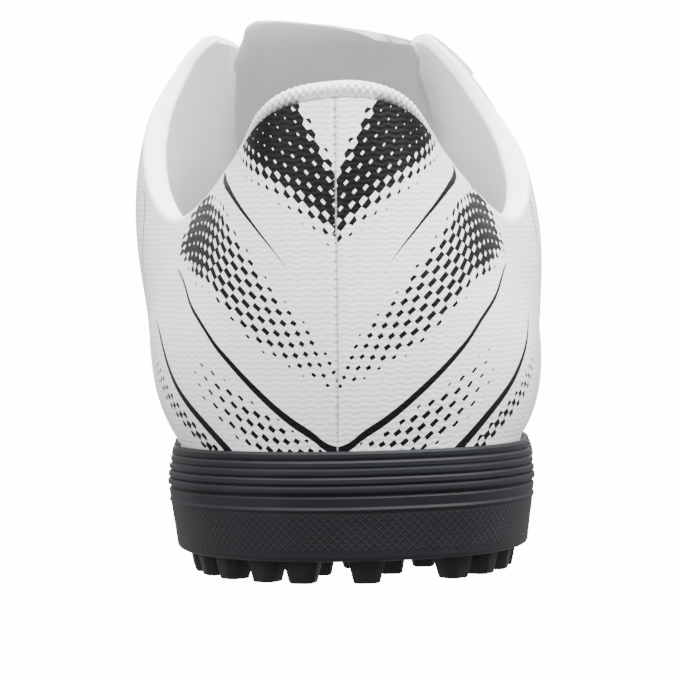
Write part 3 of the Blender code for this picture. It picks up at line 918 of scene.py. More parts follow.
CREASES = (
    Crease(Side.MEDIAL, (11.6, .30), (13.2, .78), .10, .00055),
    Crease(Side.MEDIAL, (12.6, .22), (14.1, .70), .09, .00050),
    Crease(Side.MEDIAL, (13.8, .25), (15.0, .66), .08, .00035),
    Crease(Side.LATERAL, (11.7, .28), (13.3, .76), .10, .00060),
    Crease(Side.LATERAL, (12.7, .22), (14.2, .72), .09, .00050),
    Crease(Side.LATERAL, (13.9, .24), (15.1, .66), .08, .00035),
    Crease(Side.MEDIAL, (5.2, .80), (7.6, .55), .12, .00045),
    Crease(Side.LATERAL, (5.2, .80), (7.4, .55), .12, .00045),
    Crease(Side.MEDIAL, (3.0, .72), (4.6, .50), .14, .00030),
    Crease(Side.LATERAL, (3.0, .72), (4.6, .50), .14, .00030),
)


# Reach of the eyestay below the throat's edge and top of the toe panel as a share
# of the wall, each for the rows of one side
EYESTAY_REACH = ((9.9, 10.3, 14.8, 16.4, 18), (.012, .0155, .0150, .0105, .0095))
TOE_PANEL_TOP = ((13.6, 14.6, 16.0, 18.0), (.03, .20, .36, .42))
TOE_PANEL_LOW = .012


class Upper(Assembly):
    """White wall of the shoe with its lining inside, eyestay and toe panel."""

    rows: int = 52
    tuck: float = 2 / 52
    seam_depth: float = 0.00032
    seam_width: float = 0.00050
    fold_height: float = 0.00016
    fold_place: float = 0.0015
    eyestay_step: float = 0.0007
    eyestay_margin: float = 0.0008
    toe_step: float = 0.0005
    hole_radius: float = 0.0019
    hole_depth: float = 0.012

    def build(self) -> None:
        """Shape and dress the hollow upper and its panels."""
        last = self.last
        columns = self._columns()

        def share(_: float, b: float) -> float:
            """Wall share, below 0 inside the cup."""
            return (b - self.tuck) / self.tuck if b < self.tuck else (b - self.tuck) / (1 - self.tuck)

        upper = self.wall_grid("upper_shell", columns, self.rows, share, self.relief)
        group = upper.vertex_groups.new(name="padding")
        row_length = len(columns)
        for index in range(len(upper.data.vertices)):
            t = max(0.0, share(0, index // row_length / self.rows))
            group.add([index], last.padding(columns[index % row_length], t), "REPLACE")
        edit_clean(upper, turn=False)
        face_out(upper)
        upper.data.materials.append(Printed().make())
        upper.data.materials.append(LINING.make())
        apply_modifier(upper, "SOLIDIFY", thickness=last.collar_pad, offset=-1, use_even_offset=True,
                       vertex_group="padding", thickness_vertex_group=last.wall / last.collar_pad,
                       material_offset=1, material_offset_rim=0)
        eyestay = self._panel("eyestay", EYESTAY_REACH[0][0], last.rows - EYESTAY_REACH[0][0], 260, 10,
                              self._eyestay_share, self.eyestay_step)
        toe = self._panel("toe_panel", TOE_PANEL_TOP[0][0], last.rows - TOE_PANEL_TOP[0][0], 180, 14,
                          self.toe_share, self.toe_step)
        self._punch([upper, eyestay])
        for piece in (upper, eyestay, toe):
            activate(piece)
            bpy.ops.object.shade_smooth_by_angle(angle=math.radians(42))
        self.finish_piece(upper, "white_synthetic", ["upper"])
        self.finish_piece(eyestay, "white_synthetic")
        self.finish_piece(toe, "white_synthetic")

    def _columns(self) -> list[float]:
        """Loop values of the columns, close together at the heel's seam."""
        fine = np.linspace(0, .42, 22)
        rest = np.linspace(.42, self.last.rows - .18, 430)[1:-1]
        back = np.linspace(self.last.rows - .18, self.last.rows, 9)
        return fine.tolist() + rest.tolist() + back.tolist()

    def relief(self, u: float, t: float, c: float, _: float) -> float:
        """Distance off the smooth face: seam, its folds and the creases."""
        lift = -self.seam_depth * math.exp(-((c / self.seam_width) ** 2))
        lift += self.fold_height * math.exp(-(((abs(c) - self.fold_place) / (1.6 * self.seam_width)) ** 2))
        side = Side.MEDIAL if u < self.last.rows / 2 else Side.LATERAL
        row = u if side is Side.MEDIAL else self.last.rows - u
        for crease in CREASES:
            if crease.side is side:
                lift -= self._trough(crease, row, t)
        return lift * min(1.0, 12 * t)

    @staticmethod
    def _trough(crease: Crease, row: float, t: float) -> float:
        """Depth of one crease at a place."""
        scale = 7.0
        ax, ay = crease.start[0], crease.start[1] * scale
        bx, by = crease.end[0] - ax, crease.end[1] * scale - ay
        px, py = row - ax, t * scale - ay
        way = (px * bx + py * by) / (bx * bx + by * by)
        held = min(max(way, 0), 1)
        gap = math.hypot(px - held * bx, py - held * by) / (crease.width * scale)
        return crease.depth * math.exp(-gap * gap) * (0.25 + 0.75 * math.sin(math.pi * held))

    def _panel(
        self,
        name: str,
        start: float,
        end: float,
        columns: int,
        rows: int,
        share: Callable[[float, float], float],
        thickness: float,
    ) -> bpy.types.Object:
        """Overlay of the same synthetic on the outer face.

        Args:
            name: Name of the panel.
            start: First loop value.
            end: Last loop value.
            columns: Faces along it.
            rows: Faces across it.
            share: Wall share for a loop value and a share of its width.
            thickness: Step that it makes.

        Returns:
            The panel.
        """
        us = np.linspace(start, end, columns + 1).tolist()
        panel = self.wall_grid(name, us, rows, share, lambda u, t, c, z: thickness + self.relief(u, t, c, z))
        edit_clean(panel, turn=False)
        face_out(panel)
        apply_modifier(panel, "SOLIDIFY", thickness=thickness * 1.6, offset=-1)
        panel.data.materials.append(PLAIN_SYNTHETIC.make())
        return panel

    def _eyestay_share(self, u: float, b: float) -> float:
        """Share across the eyestay, which narrows round the toe end."""
        rows = min(u, self.last.rows - u)
        low = self.last.edge_reach(u, float(np.interp(rows, *EYESTAY_REACH)))
        return low + b * (self.last.edge_reach(u, self.eyestay_margin) - low)

    def _punch(self, pieces: Sequence[bpy.types.Object]) -> None:
        """Cut the eyelet holes through the given pieces."""
        cutters = []
        for row in EYELET_ROWS:
            for side in Side:
                place, normal = eyelet(self.last, row, side)
                deselect_all()
                bpy.ops.mesh.primitive_cylinder_add(vertices=24, radius=self.hole_radius,
                                                    depth=self.hole_depth)
                cutter = bpy.context.object
                turn = normal.to_track_quat("Z", "Y").to_matrix().to_4x4()
                cutter.matrix_world = Matrix.Translation(place) @ turn
                cutters.append(settle(cutter, "eyelet_cutter"))
        tool = join_pieces(cutters, "eyelet_cutter")
        for piece in pieces:
            apply_modifier(piece, "BOOLEAN", object=tool, operation="DIFFERENCE", solver="EXACT")
        bpy.data.objects.remove(tool)


EYELET_REACH = 0.0085


def eyelet(last: Last, row: float, side: Side) -> tuple[Vector, Vector]:
    """Place and normal of an eyelet on the outer face."""
    u = last.row(side, row)
    t = last.edge_reach(u, EYELET_REACH)
    return last.wall_point(u, t), last.wall_normal(u, t)


# The print's lines and bands. Each pair is the distance from the heel's seam and a
# height, half width or density there, in millimetres or as a share
CHEVRON = ((0, 25.5), (1.5, 25.9), (5, 28.4), (9.5, 31.3), (16.6, 36.9), (25.2, 44.1), (35, 51.8),
           (53, 59.0), (75, 61.5))
CHEVRON_HALF = ((0, .68), (4, .84), (14, .84), (22, .72), (30, .52), (45, .32), (60, .10))
HIGH_BAND = ((0, 13.0), (5, 15.3), (12, 16.1), (26, 16.8), (37, 12.4), (50, 10.0), (62, 8.0))
HIGH_BAND_HALF = ((0, 2.6), (5, 5.6), (12, 7.4), (20, 9.6), (37, 8.6), (62, 7.2))
HIGH_BAND_PEAK = ((0, .24), (10, .36), (20, .45), (29, .55), (37, .68), (45, .80), (54, .82),
                  (60, .62), (66, .0))
LOW_BAND = ((0, 1.6), (8, 4.5), (16, 7.2), (24, 9.2), (38, 10.4))
LOW_BAND_HALF = ((0, 1.2), (8, 3.6), (16, 5.4), (29, 5.4), (38, 2.4))
LOW_BAND_PEAK = ((0, .1), (6, .32), (15, .40), (23, .33), (30, .20), (38, .0))
BAND_RUN = ((0, 0), (26, 26), (70, 50))
SPEED_LINE = ((9.4, 59.6), (14.7, 65.9), (20.6, 71.1), (27, 74.6), (35, 77.0), (38.8, 78.3), (41, 81.0))
SPEED_HALF = ((9.4, .02), (13, .22), (22, .50), (36, .78), (41, .85))
SIDE_LINE = ((22, 23.2), (38, 35.2), (55, 45.3), (72, 50.5))
SIDE_HALF = ((22, 1.15), (40, .8), (56, .42), (72, .03))
TRAIL = ((26, 22.6), (45, 34.2), (68, 43.8), (84, 47.5))
TRAIL_HALF = ((26, 2.2), (60, 2.4), (84, 1.6))
TRAIL_PEAK = ((26, .55), (46, .44), (62, .26), (80, .0))
WEDGE_LOW = ((0, 64.6), (2.6, 67.3), (8.2, 72.0), (14.8, 76.8), (25.5, 82.8), (34, 88.0))
# The upright line is given by height, with its distance from the seam and half width
UPRIGHT = ((44, 102.2), (58, 100.3), (66, 99.5), (72, 99.0), (77, 104.0))
UPRIGHT_HALF = ((44, .02), (60, .30), (72, .42), (78, .20))


@dataclass(frozen=True)
class Printed:
    """White rippled synthetic with a black print of dots and speed lines."""

    white: tuple[float, float, float] = (0.755, 0.76, 0.765)
    shade: tuple[float, float, float] = (0.735, 0.74, 0.745)
    black: tuple[float, float, float] = (0.004, 0.004, 0.005)
    thread: tuple[float, float, float] = (0.35, 0.35, 0.35)
    steep: tuple[float, float, float] = (2.67, 3.57, 0.445)
    gentle: tuple[float, float, float] = (3.24, 2.94, 0.488)
    wedge_slope: float = 1.19
    side_shift: float = 0.37

    def make(self) -> bpy.types.Material:
        """Material of the upper's outer face.

        Returns:
            The material.
        """
        base = Finish("printed_synthetic", self.white, self.shade, 0.5, Coat.RIPPLE, 0.00012, 950, 0.0, 0.1)
        material = base.make()
        tree = material.node_tree
        shader = tree.nodes["Principled BSDF"]
        place = tree.nodes.new("ShaderNodeUVMap")
        place.uv_map = "lay"
        split = tree.nodes.new("ShaderNodeSeparateXYZ")
        tree.links.new(place.outputs["UV"], split.inputs[0])
        s = Field(tree, split.outputs[0]) * 1000
        z = Field(tree, split.outputs[1]) * 1000
        seam = s + Last.seam_start * 1000 + (z * -1 + Last.seam_top * 1000) * Last.seam_lean
        c = seam.abs()
        ink = self._ink(seam, c, z)
        plain = shader.inputs["Base Color"].links[0].from_socket
        inked = blend(tree, ink, plain, (*self.black, 1))
        needle = c.ramp(0.26, 0.10) * (z.ramp(25.0, 26.0)) * 0.75
        tree.links.new(blend(tree, needle, inked, (*self.thread, 1)), shader.inputs["Base Color"])
        return material

    def _ink(self, seam: Field, c: Field, z: Field) -> Field:
        """How black the print is at a place.

        Args:
            seam: Signed distance from the heel's seam in millimetres.
            c: The same without sign.
            z: Height in millimetres.

        Returns:
            Ink from 0 to 1.
        """
        w = z - c.curve(CHEVRON)
        half_shift = seam.ramp(-0.01, 0.01) * self.side_shift
        ink = self._dashes(c, z - c * self.wedge_slope, self._wedge(c, z), half_shift, self.steep)
        band = self._band(c, w - c.curve(HIGH_BAND), HIGH_BAND_HALF, HIGH_BAND_PEAK)
        low_band = self._band(c, w + c.curve(LOW_BAND), LOW_BAND_HALF, LOW_BAND_PEAK)
        ink = ink.high(self._dashes(c.curve(BAND_RUN), w, band.high(low_band), half_shift, self.gentle))
        ink = ink.high(self._stroke(c, z, SPEED_LINE, SPEED_HALF, 9.6, 40.6))
        ink = ink.high(self._stroke(c, z, CHEVRON, CHEVRON_HALF, -1, 58))
        ink = ink.high(self._stroke(c, z, SIDE_LINE, SIDE_HALF, 20, 70))
        off_trail = z - c.curve(TRAIL)
        trail = self._band(c, off_trail, TRAIL_HALF, TRAIL_PEAK)
        ink = ink.high(self._dashes(c, off_trail, trail, half_shift, self.gentle))
        return ink.high(self._upright(c, z))

    @staticmethod
    def _wedge(c: Field, z: Field) -> Field:
        """Density of the dark areas beside the white V at the top."""
        top = (c * 1.8 + 77.6 - z).ramp(-4.6, 4.2)
        low = (z - c.curve(WEDGE_LOW)).ramp(-5.0, 6.5)
        deep = (c * 0.9 + z).ramp(80, 104) * 0.16 + 0.78
        return top.low(low) * deep * c.ramp(42, 34)

    @staticmethod
    def _band(c: Field, w: Field, half: Line, peak: Line) -> Field:
        """Density of a band that is densest in its middle.

        Args:
            c: Distance from the seam.
            w: Distance from the band's middle.
            half: Half width of the band along c.
            peak: Density in its middle along c.

        Returns:
            Density from 0 to 1.
        """
        share = w.abs() / c.curve(half)
        return (share * -1 + 1).high(0.0).ramp(-0.12, 0.48) * c.curve(peak)

    @staticmethod
    def _dashes(c: Field, level: Field, density: Field, offset: Field,
                lattice: tuple[float, float, float]) -> Field:
        """Staggered dashes that grow with the density and leave holes when it is high.

        Args:
            c: Distance from the seam.
            level: Distance from the lines that the dashes follow.
            density: Share of black wanted.
            offset: Shift of the dashes across those lines.
            lattice: Spacing along and across the lines, and the slant.

        Returns:
            Ink from 0 to 1.
        """
        along_pitch, across_pitch, slant = lattice
        along = (c + level * slant) / along_pitch
        across = level / across_pitch + offset
        first = ((along + across).fract() - 0.5).abs()
        second = ((along - across).fract() - 0.5).abs()
        spot = first + second - density
        clear = density.ramp(0.06, 0.12)
        return spot.ramp(0.035, -0.035) * clear

    @staticmethod
    def _stroke(c: Field, z: Field, line: Line, width: Line, start: float, end: float) -> Field:
        """Tapered line along a curve.

        Args:
            c: Distance from the seam.
            z: Height.
            line: Height of the line along c.
            width: Half width along c.
            start: Where the line starts.
            end: Where it ends.

        Returns:
            Ink from 0 to 1.
        """
        off = (z - c.curve(line)).abs() - c.curve(width)
        return off.ramp(0.10, -0.10) * c.ramp(start - 0.3, start + 0.3) * c.ramp(end + 0.6, end - 0.6)

    @staticmethod
    def _upright(c: Field, z: Field) -> Field:
        """Thin upright line on the quarter, from the collar downwards."""
        off = (c - z.curve(UPRIGHT)).abs() - z.curve(UPRIGHT_HALF)
        return off.ramp(0.15, -0.15) * z.ramp(44, 50) * z.ramp(79, 76.5) * 0.7


class Stitching(Assembly):
    """Rows of thread on the upper."""

    pitch: float = 0.0017
    tick_count: int = 38
    tick_start: float = 0.0275
    tick_length: float = 0.0010
    tick_radius: float = 0.00010
    length: float = 0.0017
    step: float = 0.0026
    radius: float = 0.00016
    margin: float = 0.0014
    outer_line: float = 0.0136
    toe_line: float = 0.955

    def build(self) -> None:
        """Make the heel's ticks and the rows beside the eyestay and toe panel."""
        last = self.last
        ticks = []
        for k in range(self.tick_count):
            z = self.tick_start + k * self.pitch
            u = last.seam_row(z)
            t = self._share_at(u, z)
            place, normal = last.wall_point(u, t), last.wall_normal(u, t)
            tangent = Vector((1, 0, 0)).cross(normal).normalized()
            across = normal.cross(tangent)
            lean = (across * -1.0 + tangent * 0.42).normalized()
            ticks.append((place + lean * 0.0004 - normal * 0.00012, lean, normal))
        self._row("seam_stitches", ticks, STITCH_THREAD, self.tick_length, self.tick_radius)
        edge = []
        for inset in (self.margin, self.outer_line):
            edge += self._along(10.15, 25.85, lambda u, i=inset: self._inside(u, i), 0.00085)
        self._row("eyestay_stitches", edge, PALE_THREAD, self.length, self.radius)
        toe = self._along(14.0, 22.0, lambda u: self.toe_share(u, self.toe_line), 0.00065)
        self._row("toe_stitches", toe, PALE_THREAD, self.length, self.radius)

    def _inside(self, u: float, inset: float) -> float:
        """Share of a stitch line on the eyestay, kept inside its width."""
        rows = min(u, self.last.rows - u)
        reach = float(np.interp(rows, *EYESTAY_REACH))
        return self.last.edge_reach(u, min(inset, reach - self.margin))

    def _share_at(self, u: float, z: float) -> float:
        """Wall share at a height."""
        low, high = 0.0, 1.0
        for _ in range(18):
            middle = (low + high) / 2
            if self.last.wall_point(u, middle).z < z:
                low = middle
            else:
                high = middle
        return low

    def _along(self, start: float, end: float, share: Callable[[float], float],
               lift: float) -> list[tuple[Vector, Vector, Vector]]:
        """Even places along a line on the wall.

        Args:
            start: First loop value.
            end: Last loop value.
            share: Wall share of the line.
            lift: Distance off the face.

        Returns:
            Place, direction and normal of each stitch.
        """
        last = self.last
        us = np.linspace(start, end, 700).tolist()
        line = [last.wall_point(u, share(u)) for u in us]
        run = np.cumsum([0.0] + [(b - a).length for a, b in zip(line, line[1:])])
        places = []
        for distance in np.arange(0.001, run[-1] - 0.001, self.step):
            k = int(np.searchsorted(run, distance))
            normal = last.wall_normal(us[k], share(us[k]))
            way = (line[min(k + 1, len(line) - 1)] - line[k - 1]).normalized()
            places.append((line[k] + lift * normal, way, normal))
        return places

    def _row(self, name: str, places: Sequence[tuple[Vector, Vector, Vector]],
             finish: Finish, length: float, radius: float) -> None:
        """One stitch, copied to all its places and joined.

        Args:
            name: Name of the row.
            places: Place, direction and normal of each stitch.
            finish: Thread.
            length: Length of a stitch.
            radius: Radius of the thread.
        """
        deselect_all()
        bpy.ops.mesh.primitive_uv_sphere_add(segments=8, ring_count=6, radius=1)
        model = bpy.context.object
        model.scale = (radius, radius, length / 2)
        model = settle(model, name)
        copies = []
        for place, way, normal in places:
            stitch = model.copy()
            stitch.data = model.data.copy()
            bpy.context.scene.collection.objects.link(stitch)
            side = way.cross(normal).normalized()
            turn = Matrix((side, normal, way)).transposed().to_4x4()
            stitch.matrix_world = Matrix.Translation(place) @ turn
            copies.append(settle(stitch, name))
        bpy.data.objects.remove(model)
        row = join_pieces(copies, name)
        activate(row)
        bpy.ops.object.shade_smooth()
        row.data.materials.append(finish.make())
        self.finish_piece(row, "white_synthetic")


class CollarBinding(Assembly):
    """Knitted roll round the back of the collar and soft rolls beyond it."""

    height: float = 0.0032
    width: float = 0.0034
    seat: float = 0.0005
    end_row: float = 5.6
    pitch: float = 0.00135
    steps: int = 1100
    sides: int = 24
    bump: float = 0.058
    unevenness: float = 0.3
    edge_rows: tuple[float, float] = (4.4, 10.0)
    edge_steps: int = 160
    edge_half: float = 0.0016
    edge_lift: float = 0.0002

    def build(self) -> None:
        """Sweep the knitted roll and the two padded edges."""
        count = self.steps
        centres, across = self._line(-self.end_row, self.end_row, count, self.height)
        runs = np.cumsum([0.0] + [(b - a).length for a, b in zip(centres, centres[1:])]).tolist()

        def radius(a: float, b: float) -> tuple[float, float]:
            """Half sizes with the knit's uneven bumps."""
            size = self.size(self.end_row * (2 * a - 1))
            loop = runs[min(round(a * count), count)] / self.pitch
            waves = math.cos(2 * math.pi * (loop + 5 * b)) + math.cos(2 * math.pi * (loop - 6 * b))
            loops = 1 + self.bump * waves * (1 + self.unevenness * math.sin(0.73 * loop))
            return size * self.height / 2 * loops, size * self.width / 2 * loops

        roll = swept_tube("collar_roll", centres, across, self.sides, radius)
        roll.data.materials.append(EDGE_KNIT.make())
        self.finish_piece(roll, "knitted_edge", ["collar_binding"])
        for side in Side:
            self._soft_edge(side)

    def _line(self, start: float, end: float, count: int, height: float) -> tuple[list, list]:
        """Centre line of a roll on the collar's edge with its two directions."""
        last = self.last
        centres, across = [], []
        for row in np.linspace(start, end, count + 1).tolist():
            _, _, high, top = last.handles(row)
            up = (top - high).normalized()
            side = last.wall_normal(row, 1)
            half = self.size(row) * height / 2
            centres.append(top + (half + self.seat) * up - (last.thickness(row, 1) / 2) * side)
            across.append((up, side))
        return centres, across

    def _soft_edge(self, side: Side) -> None:
        """Padded edge from the dip to the throat's corner on one side."""
        last = self.last
        (start, end), steps = self.edge_rows, self.edge_steps
        rows = np.linspace(start, end, steps + 1).tolist()
        centres, across, halves = [], [], []
        for row in rows:
            u = last.row(side, row)
            _, _, high, top = last.handles(u)
            up = (top - high).normalized()
            out = last.wall_normal(u, 1)
            thick = last.thickness(u, 1)
            grow = float(np.interp(row, (start, start + 1.3, end - 1.2, end), (.55, 1, 1, .6)))
            halves.append((self.edge_half * grow, thick / 2 * (0.93 + 0.09 * grow)))
            centres.append(top - (thick / 2) * out + self.edge_lift * up)
            across.append((up, out))

        def radius(a: float, b: float) -> tuple[float, float]:
            """Half sizes, square enough to fill the wall's edge."""
            height, width = halves[min(round(a * steps), steps)]
            return height * squared(2 * math.pi * b), width * squared(2 * math.pi * b)

        edge = swept_tube(f"collar_edge_{side.name.lower()}", centres, across, 20, radius)
        edge.data.materials.append(LINING.make())
        self.finish_piece(edge, "knitted_edge")

    def size(self, row: float) -> float:
        """Share of the roll's full size at a row."""
        row = min(abs(row), self.last.rows - abs(row))
        return float(np.interp(row, (0, 1.6, 4.5, self.end_row), (1, 1, .62, .45)))


class Outsole(Assembly):
    """Cup sole with its ribbed band, textured side and lugs."""

    rib_from: float = 0.625
    rib_count: int = 5
    rib_depth: float = 0.0006
    side_draft: float = 0.0027
    lug_half: tuple[float, float] = (0.0039, 0.0034)
    lug_tip: float = 0.66
    lug_root: float = 0.0012
    lug_inset: float = 0.0072
    inner_pitch: float = 0.0138
    inner_scale: float = 0.85
    lug_clear: float = 0.0098
    lug_sides: int = 6
    lug_bevel: float = 0.00035
    rows: int = 96
    wall_lines: Line = ((.00, .86), (.012, .70), (.03, .62), (.20, .46), (.40, .24), (.455, .20),
                        (.468, .08), (.482, .08), (.495, .18), (.585, .06), (.605, .28))
    lug_corners: Line = ((1, .45), (.55, 1), (-.55, 1), (-1, .45), (-.8, -1), (.8, -1))

    def build(self) -> None:
        """Shape the cup and its lugs and dress them."""
        last = self.last
        shares, insets = zip(*self.lines())
        inner = last.foot_inset - last.gap
        rows = self.rows
        rim_row, wall_row = rows - 8, rows - 6

        def shape(a: float, b: float) -> Vector:
            """Outer side, rim and inner wall."""
            u = a * last.rows
            under, floor, rim = last.sole_heights(u)
            k = round(b * rows)
            if k <= rim_row:
                share = k / rim_row
                inset = float(np.interp(share, shares, insets))
                return last.sole_point(u, inset, under + share * (rim - under))
            if k <= wall_row:
                way = (k - rim_row) / (wall_row - rim_row)
                return last.sole_point(u, insets[-1] + way * (inner - insets[-1]), rim)
            way = (k - wall_row) / (rows - wall_row)
            return last.sole_point(u, inner, rim + way * (floor - rim))

        def lay(a: float, b: float, medial: bool) -> tuple[float, float]:
            """Distance round the sole and height."""
            return last.round_place(a * last.rows, medial, 0.0), shape(a, b).z

        side = shaped_grid("sole_side", 288, rows, shape, lay)

        def bottom(level: int, inset: float) -> Callable[[float, float], Vector]:
            """Surface from the medial to the lateral side at a level of the sole."""
            def place(a: float, b: float) -> Vector:
                """Point between the two sides."""
                left, right = a * last.rows / 2, last.rows - a * last.rows / 2
                first = last.sole_point(left, inset, last.sole_heights(left)[level])
                other = last.sole_point(right, inset, last.sole_heights(right)[level])
                return first.lerp(other, b)
            return place

        under = shaped_grid("sole_under", 144, 10, bottom(0, insets[0]), lambda a, b, _: (a, b))
        floor = shaped_grid("sole_floor", 144, 4, bottom(1, inner), lambda a, b, _: (a, b))
        sole = join_pieces([side, under, floor], "sole_cup")
        edit_clean(sole)
        activate(sole)
        bpy.ops.object.shade_smooth_by_angle(angle=math.radians(35))
        sole.data.materials.append(SOLE_RUBBER.make())
        self.finish_piece(sole, "black_rubber", ["outsole"])
        self._lugs()

    def lines(self) -> list[tuple[float, float]]:
        """Share of height and inset of each line of the sole's outer side."""
        lines = [(share, inset * self.side_draft) for share, inset in self.wall_lines]
        pitch = (1 - self.rib_from) / self.rib_count
        for k in range(self.rib_count):
            crest = self.last.rim_inset * (k / (self.rib_count - 1)) ** 1.5
            start = self.rib_from + k * pitch
            lines += [(start + .18 * pitch, crest), (start + .72 * pitch, crest)]
            if k < self.rib_count - 1:
                lines.append((start + .95 * pitch, crest + self.rib_depth))
        lines.append((1.0, self.last.rim_inset + self.rib_depth))
        return lines

    def _lugs(self) -> None:
        """One bevelled lug, copied to every place under the sole."""
        last = self.last
        height = last.lug_height + self.lug_root
        deselect_all()
        bpy.ops.mesh.primitive_cylinder_add(vertices=self.lug_sides, radius=1, depth=height)
        model = bpy.context.object
        turn_step = 360 / self.lug_sides
        for vertex in model.data.vertices:
            size = 1 if vertex.co.z > 0 else self.lug_tip
            angle = math.degrees(math.atan2(vertex.co.x, vertex.co.y))
            a, b = self.lug_corners[round(angle / turn_step) % self.lug_sides]
            vertex.co.x, vertex.co.y = size * a * self.lug_half[0], size * b * self.lug_half[1]
        edit_clean(model)
        apply_modifier(model, "BEVEL", width=self.lug_bevel, segments=2)
        places = self._lug_places()
        lugs = []
        for middle, along, scale in places:
            lug = model.copy()
            lug.data = model.data.copy()
            bpy.context.scene.collection.objects.link(lug)
            across = Vector((-along.y, along.x, 0))
            turn = Matrix((along * scale, across * scale, Vector((0, 0, 1)))).transposed().to_4x4()
            centre = middle + Vector((0, 0, height / 2 - last.lug_height))
            lug.matrix_world = Matrix.Translation(centre) @ turn
            lugs.append(settle(lug, "lug"))
        bpy.data.objects.remove(model)
        joined = join_pieces(lugs, "turf_lugs")
        activate(joined)
        bpy.ops.object.shade_smooth_by_angle(angle=math.radians(35))
        joined.data.materials.append(LUG_RUBBER.make())
        self.finish_piece(joined, "black_rubber")

    def _lug_places(self) -> list[tuple[Vector, Vector, float]]:
        """Middle, direction and scale of every lug."""
        last = self.last
        places = []
        for u in list(MEDIAL_LUGS) + [last.rows - u for u in LATERAL_LUGS]:
            normal = last.outward(u)
            middle = last.sole_point(u, self.lug_inset, 0)
            middle.z = last.heights_at((middle.y - last.shift.y) / last.length)[0]
            places.append((middle, Vector((normal.y, -normal.x, 0)), 1.0))
        for share, count in INNER_LUGS:
            centre = self._middle_at(share)
            for k in range(count):
                x = centre + (k - (count - 1) / 2) * self.inner_pitch
                middle = Vector((x, share * last.length, 0)) + last.shift
                middle.z = last.heights_at(share)[0]
                if min((middle - other).length for other, _, _ in places) > self.lug_clear:
                    places.append((middle, Vector((1, 0, 0)), self.inner_scale))
        return places

    def _middle_at(self, share: float) -> float:
        """Middle of the sole's two edges at a share of its length."""
        edges = []
        for rows in (MEDIAL_ROWS, LATERAL_ROWS):
            edges.append(float(np.interp(share, [row[1] for row in rows], [row[0] for row in rows])))
        return sum(edges) / 2 * self.last.ball_width


class Tongue(Assembly):
    """Padded tongue with a bare lining, free at the top."""

    sink: float = 0.0036
    thickness: float = 0.0036
    across: int = 9
    round_end: float = 0.035
    thin_start: float = 0.03
    # What the free top's rows get beyond the table: medial and lateral edge outwards,
    # medial side up and lateral side down
    top_ease: tuple[tuple[float, float, float, float], ...] = (
        (0.0015, 0.0024, 0, 0), (-0.0005, 0.0002, 0.0004, 0.0002),
        (-0.0006, -0.0008, 0.0010, 0.0005), (-0.0018, -0.0014, 0.0016, 0.0009))
    # What the edges get under the throat, at shares of the shoe's length
    spare_shares: tuple[float, ...] = (.443, .475, .52, .62)
    spares: tuple[tuple[float, ...], ...] = ((0.0020, 0.0034, 0.0032, 0), (0.0038, 0.0054, 0.0048, 0))

    def build(self) -> None:
        """Shape the padded sheet and dress both of its faces."""
        last = self.last
        rows = self._rows()
        flat = np.array([[tuple(p) for p in row] for row in rows])
        steps = len(rows) - 1

        def surface(a: float, q: float) -> Vector:
            """Outer face of the tongue, smooth along and across."""
            k = a * steps
            i = min(int(k), steps - 1)
            f = k - i
            knots = [flat[min(max(i + d, 0), steps)] for d in (-1, 0, 1, 2)]
            weights = (-.5 * f + f * f - .5 * f ** 3, 1 - 2.5 * f * f + 1.5 * f ** 3,
                       .5 * f + 2 * f * f - 1.5 * f ** 3, -.5 * f * f + .5 * f ** 3)
            row = sum(w * knot for w, knot in zip(weights, knots))
            grid = np.linspace(0, 1, self.across)
            return Vector([float(np.interp(q, grid, row[:, axis])) for axis in range(3)])

        def middle(a: float, q: float) -> tuple[Vector, Vector]:
            """Middle of the padding and its normal."""
            a = min(max(a, 0.0), 1.0)
            step = 0.012
            along = surface(min(a + step, 1), q) - surface(max(a - step, 0), q)
            side = surface(a, min(q + 0.06, 1)) - surface(a, max(q - 0.06, 0))
            normal = along.cross(side).normalized()
            return surface(a, q) - self.thickness / 2 * normal, normal

        def half(a: float, q: float) -> float:
            """Half thickness, rounded at the top and thinner at the toe end."""
            past = max(0.0, a - (1 - self.round_end)) / self.round_end
            start = min(1.0, 0.3 + a / self.thin_start)
            return self.thickness / 2 * math.sqrt(max(0.0, 1 - past ** 2)) * start

        tongue = pillow("tongue_pad", 130, 72, middle, half)
        face_out(tongue)
        tongue.data.materials.append(TONGUE_LINING.make())
        tongue.data.materials.append(TONGUE_FACE.make())
        for face in tongue.data.polygons:
            up = face.normal.z if face.center.y > last.shift.y + 0.44 * last.length else face.normal.y
            face.material_index = 1 if up > 0.12 else 0
        self.finish_piece(tongue, "grey_lining", ["tongue"])

    def _rows(self) -> list[list[Vector]]:
        """Points of the outer face, toe end first."""
        last = self.last
        rows = []
        for share, medial, lateral in TONGUE_ROWS:
            out_medial, out_lateral = (
                float(np.interp(share, self.spare_shares, spare)) for spare in self.spares)
            xs = self._spread(medial * last.ball_width - out_medial, lateral * last.ball_width + out_lateral)
            y = share * last.length + last.shift.y
            rows.append([last.drop_on(x + last.shift.x, y, -self.sink)[0] for x in xs])
        base = rows[-1]
        flat = self._spread(base[0].z, base[-1].z)
        for table_row, ease in zip(TONGUE_TOP, self.top_ease):
            back, up_medial, up_lateral, medial, lateral, level = table_row
            out_medial, out_lateral, rise, fall = ease
            xs = self._spread(medial * last.ball_width - out_medial, lateral * last.ball_width + out_lateral)
            ups = self._spread(up_medial * last.ball_width + rise, up_lateral * last.ball_width - fall)
            row = []
            for x, up, z, p in zip(xs, ups, flat, base):
                height = p.z + level * (z - p.z) + up
                row.append(Vector((x + last.shift.x, p.y - back * last.ball_width, height)))
            rows.append(row)
        return rows

    def _spread(self, start: float, end: float) -> list[float]:
        """Even values across a row."""
        return np.linspace(start, end, self.across).tolist()


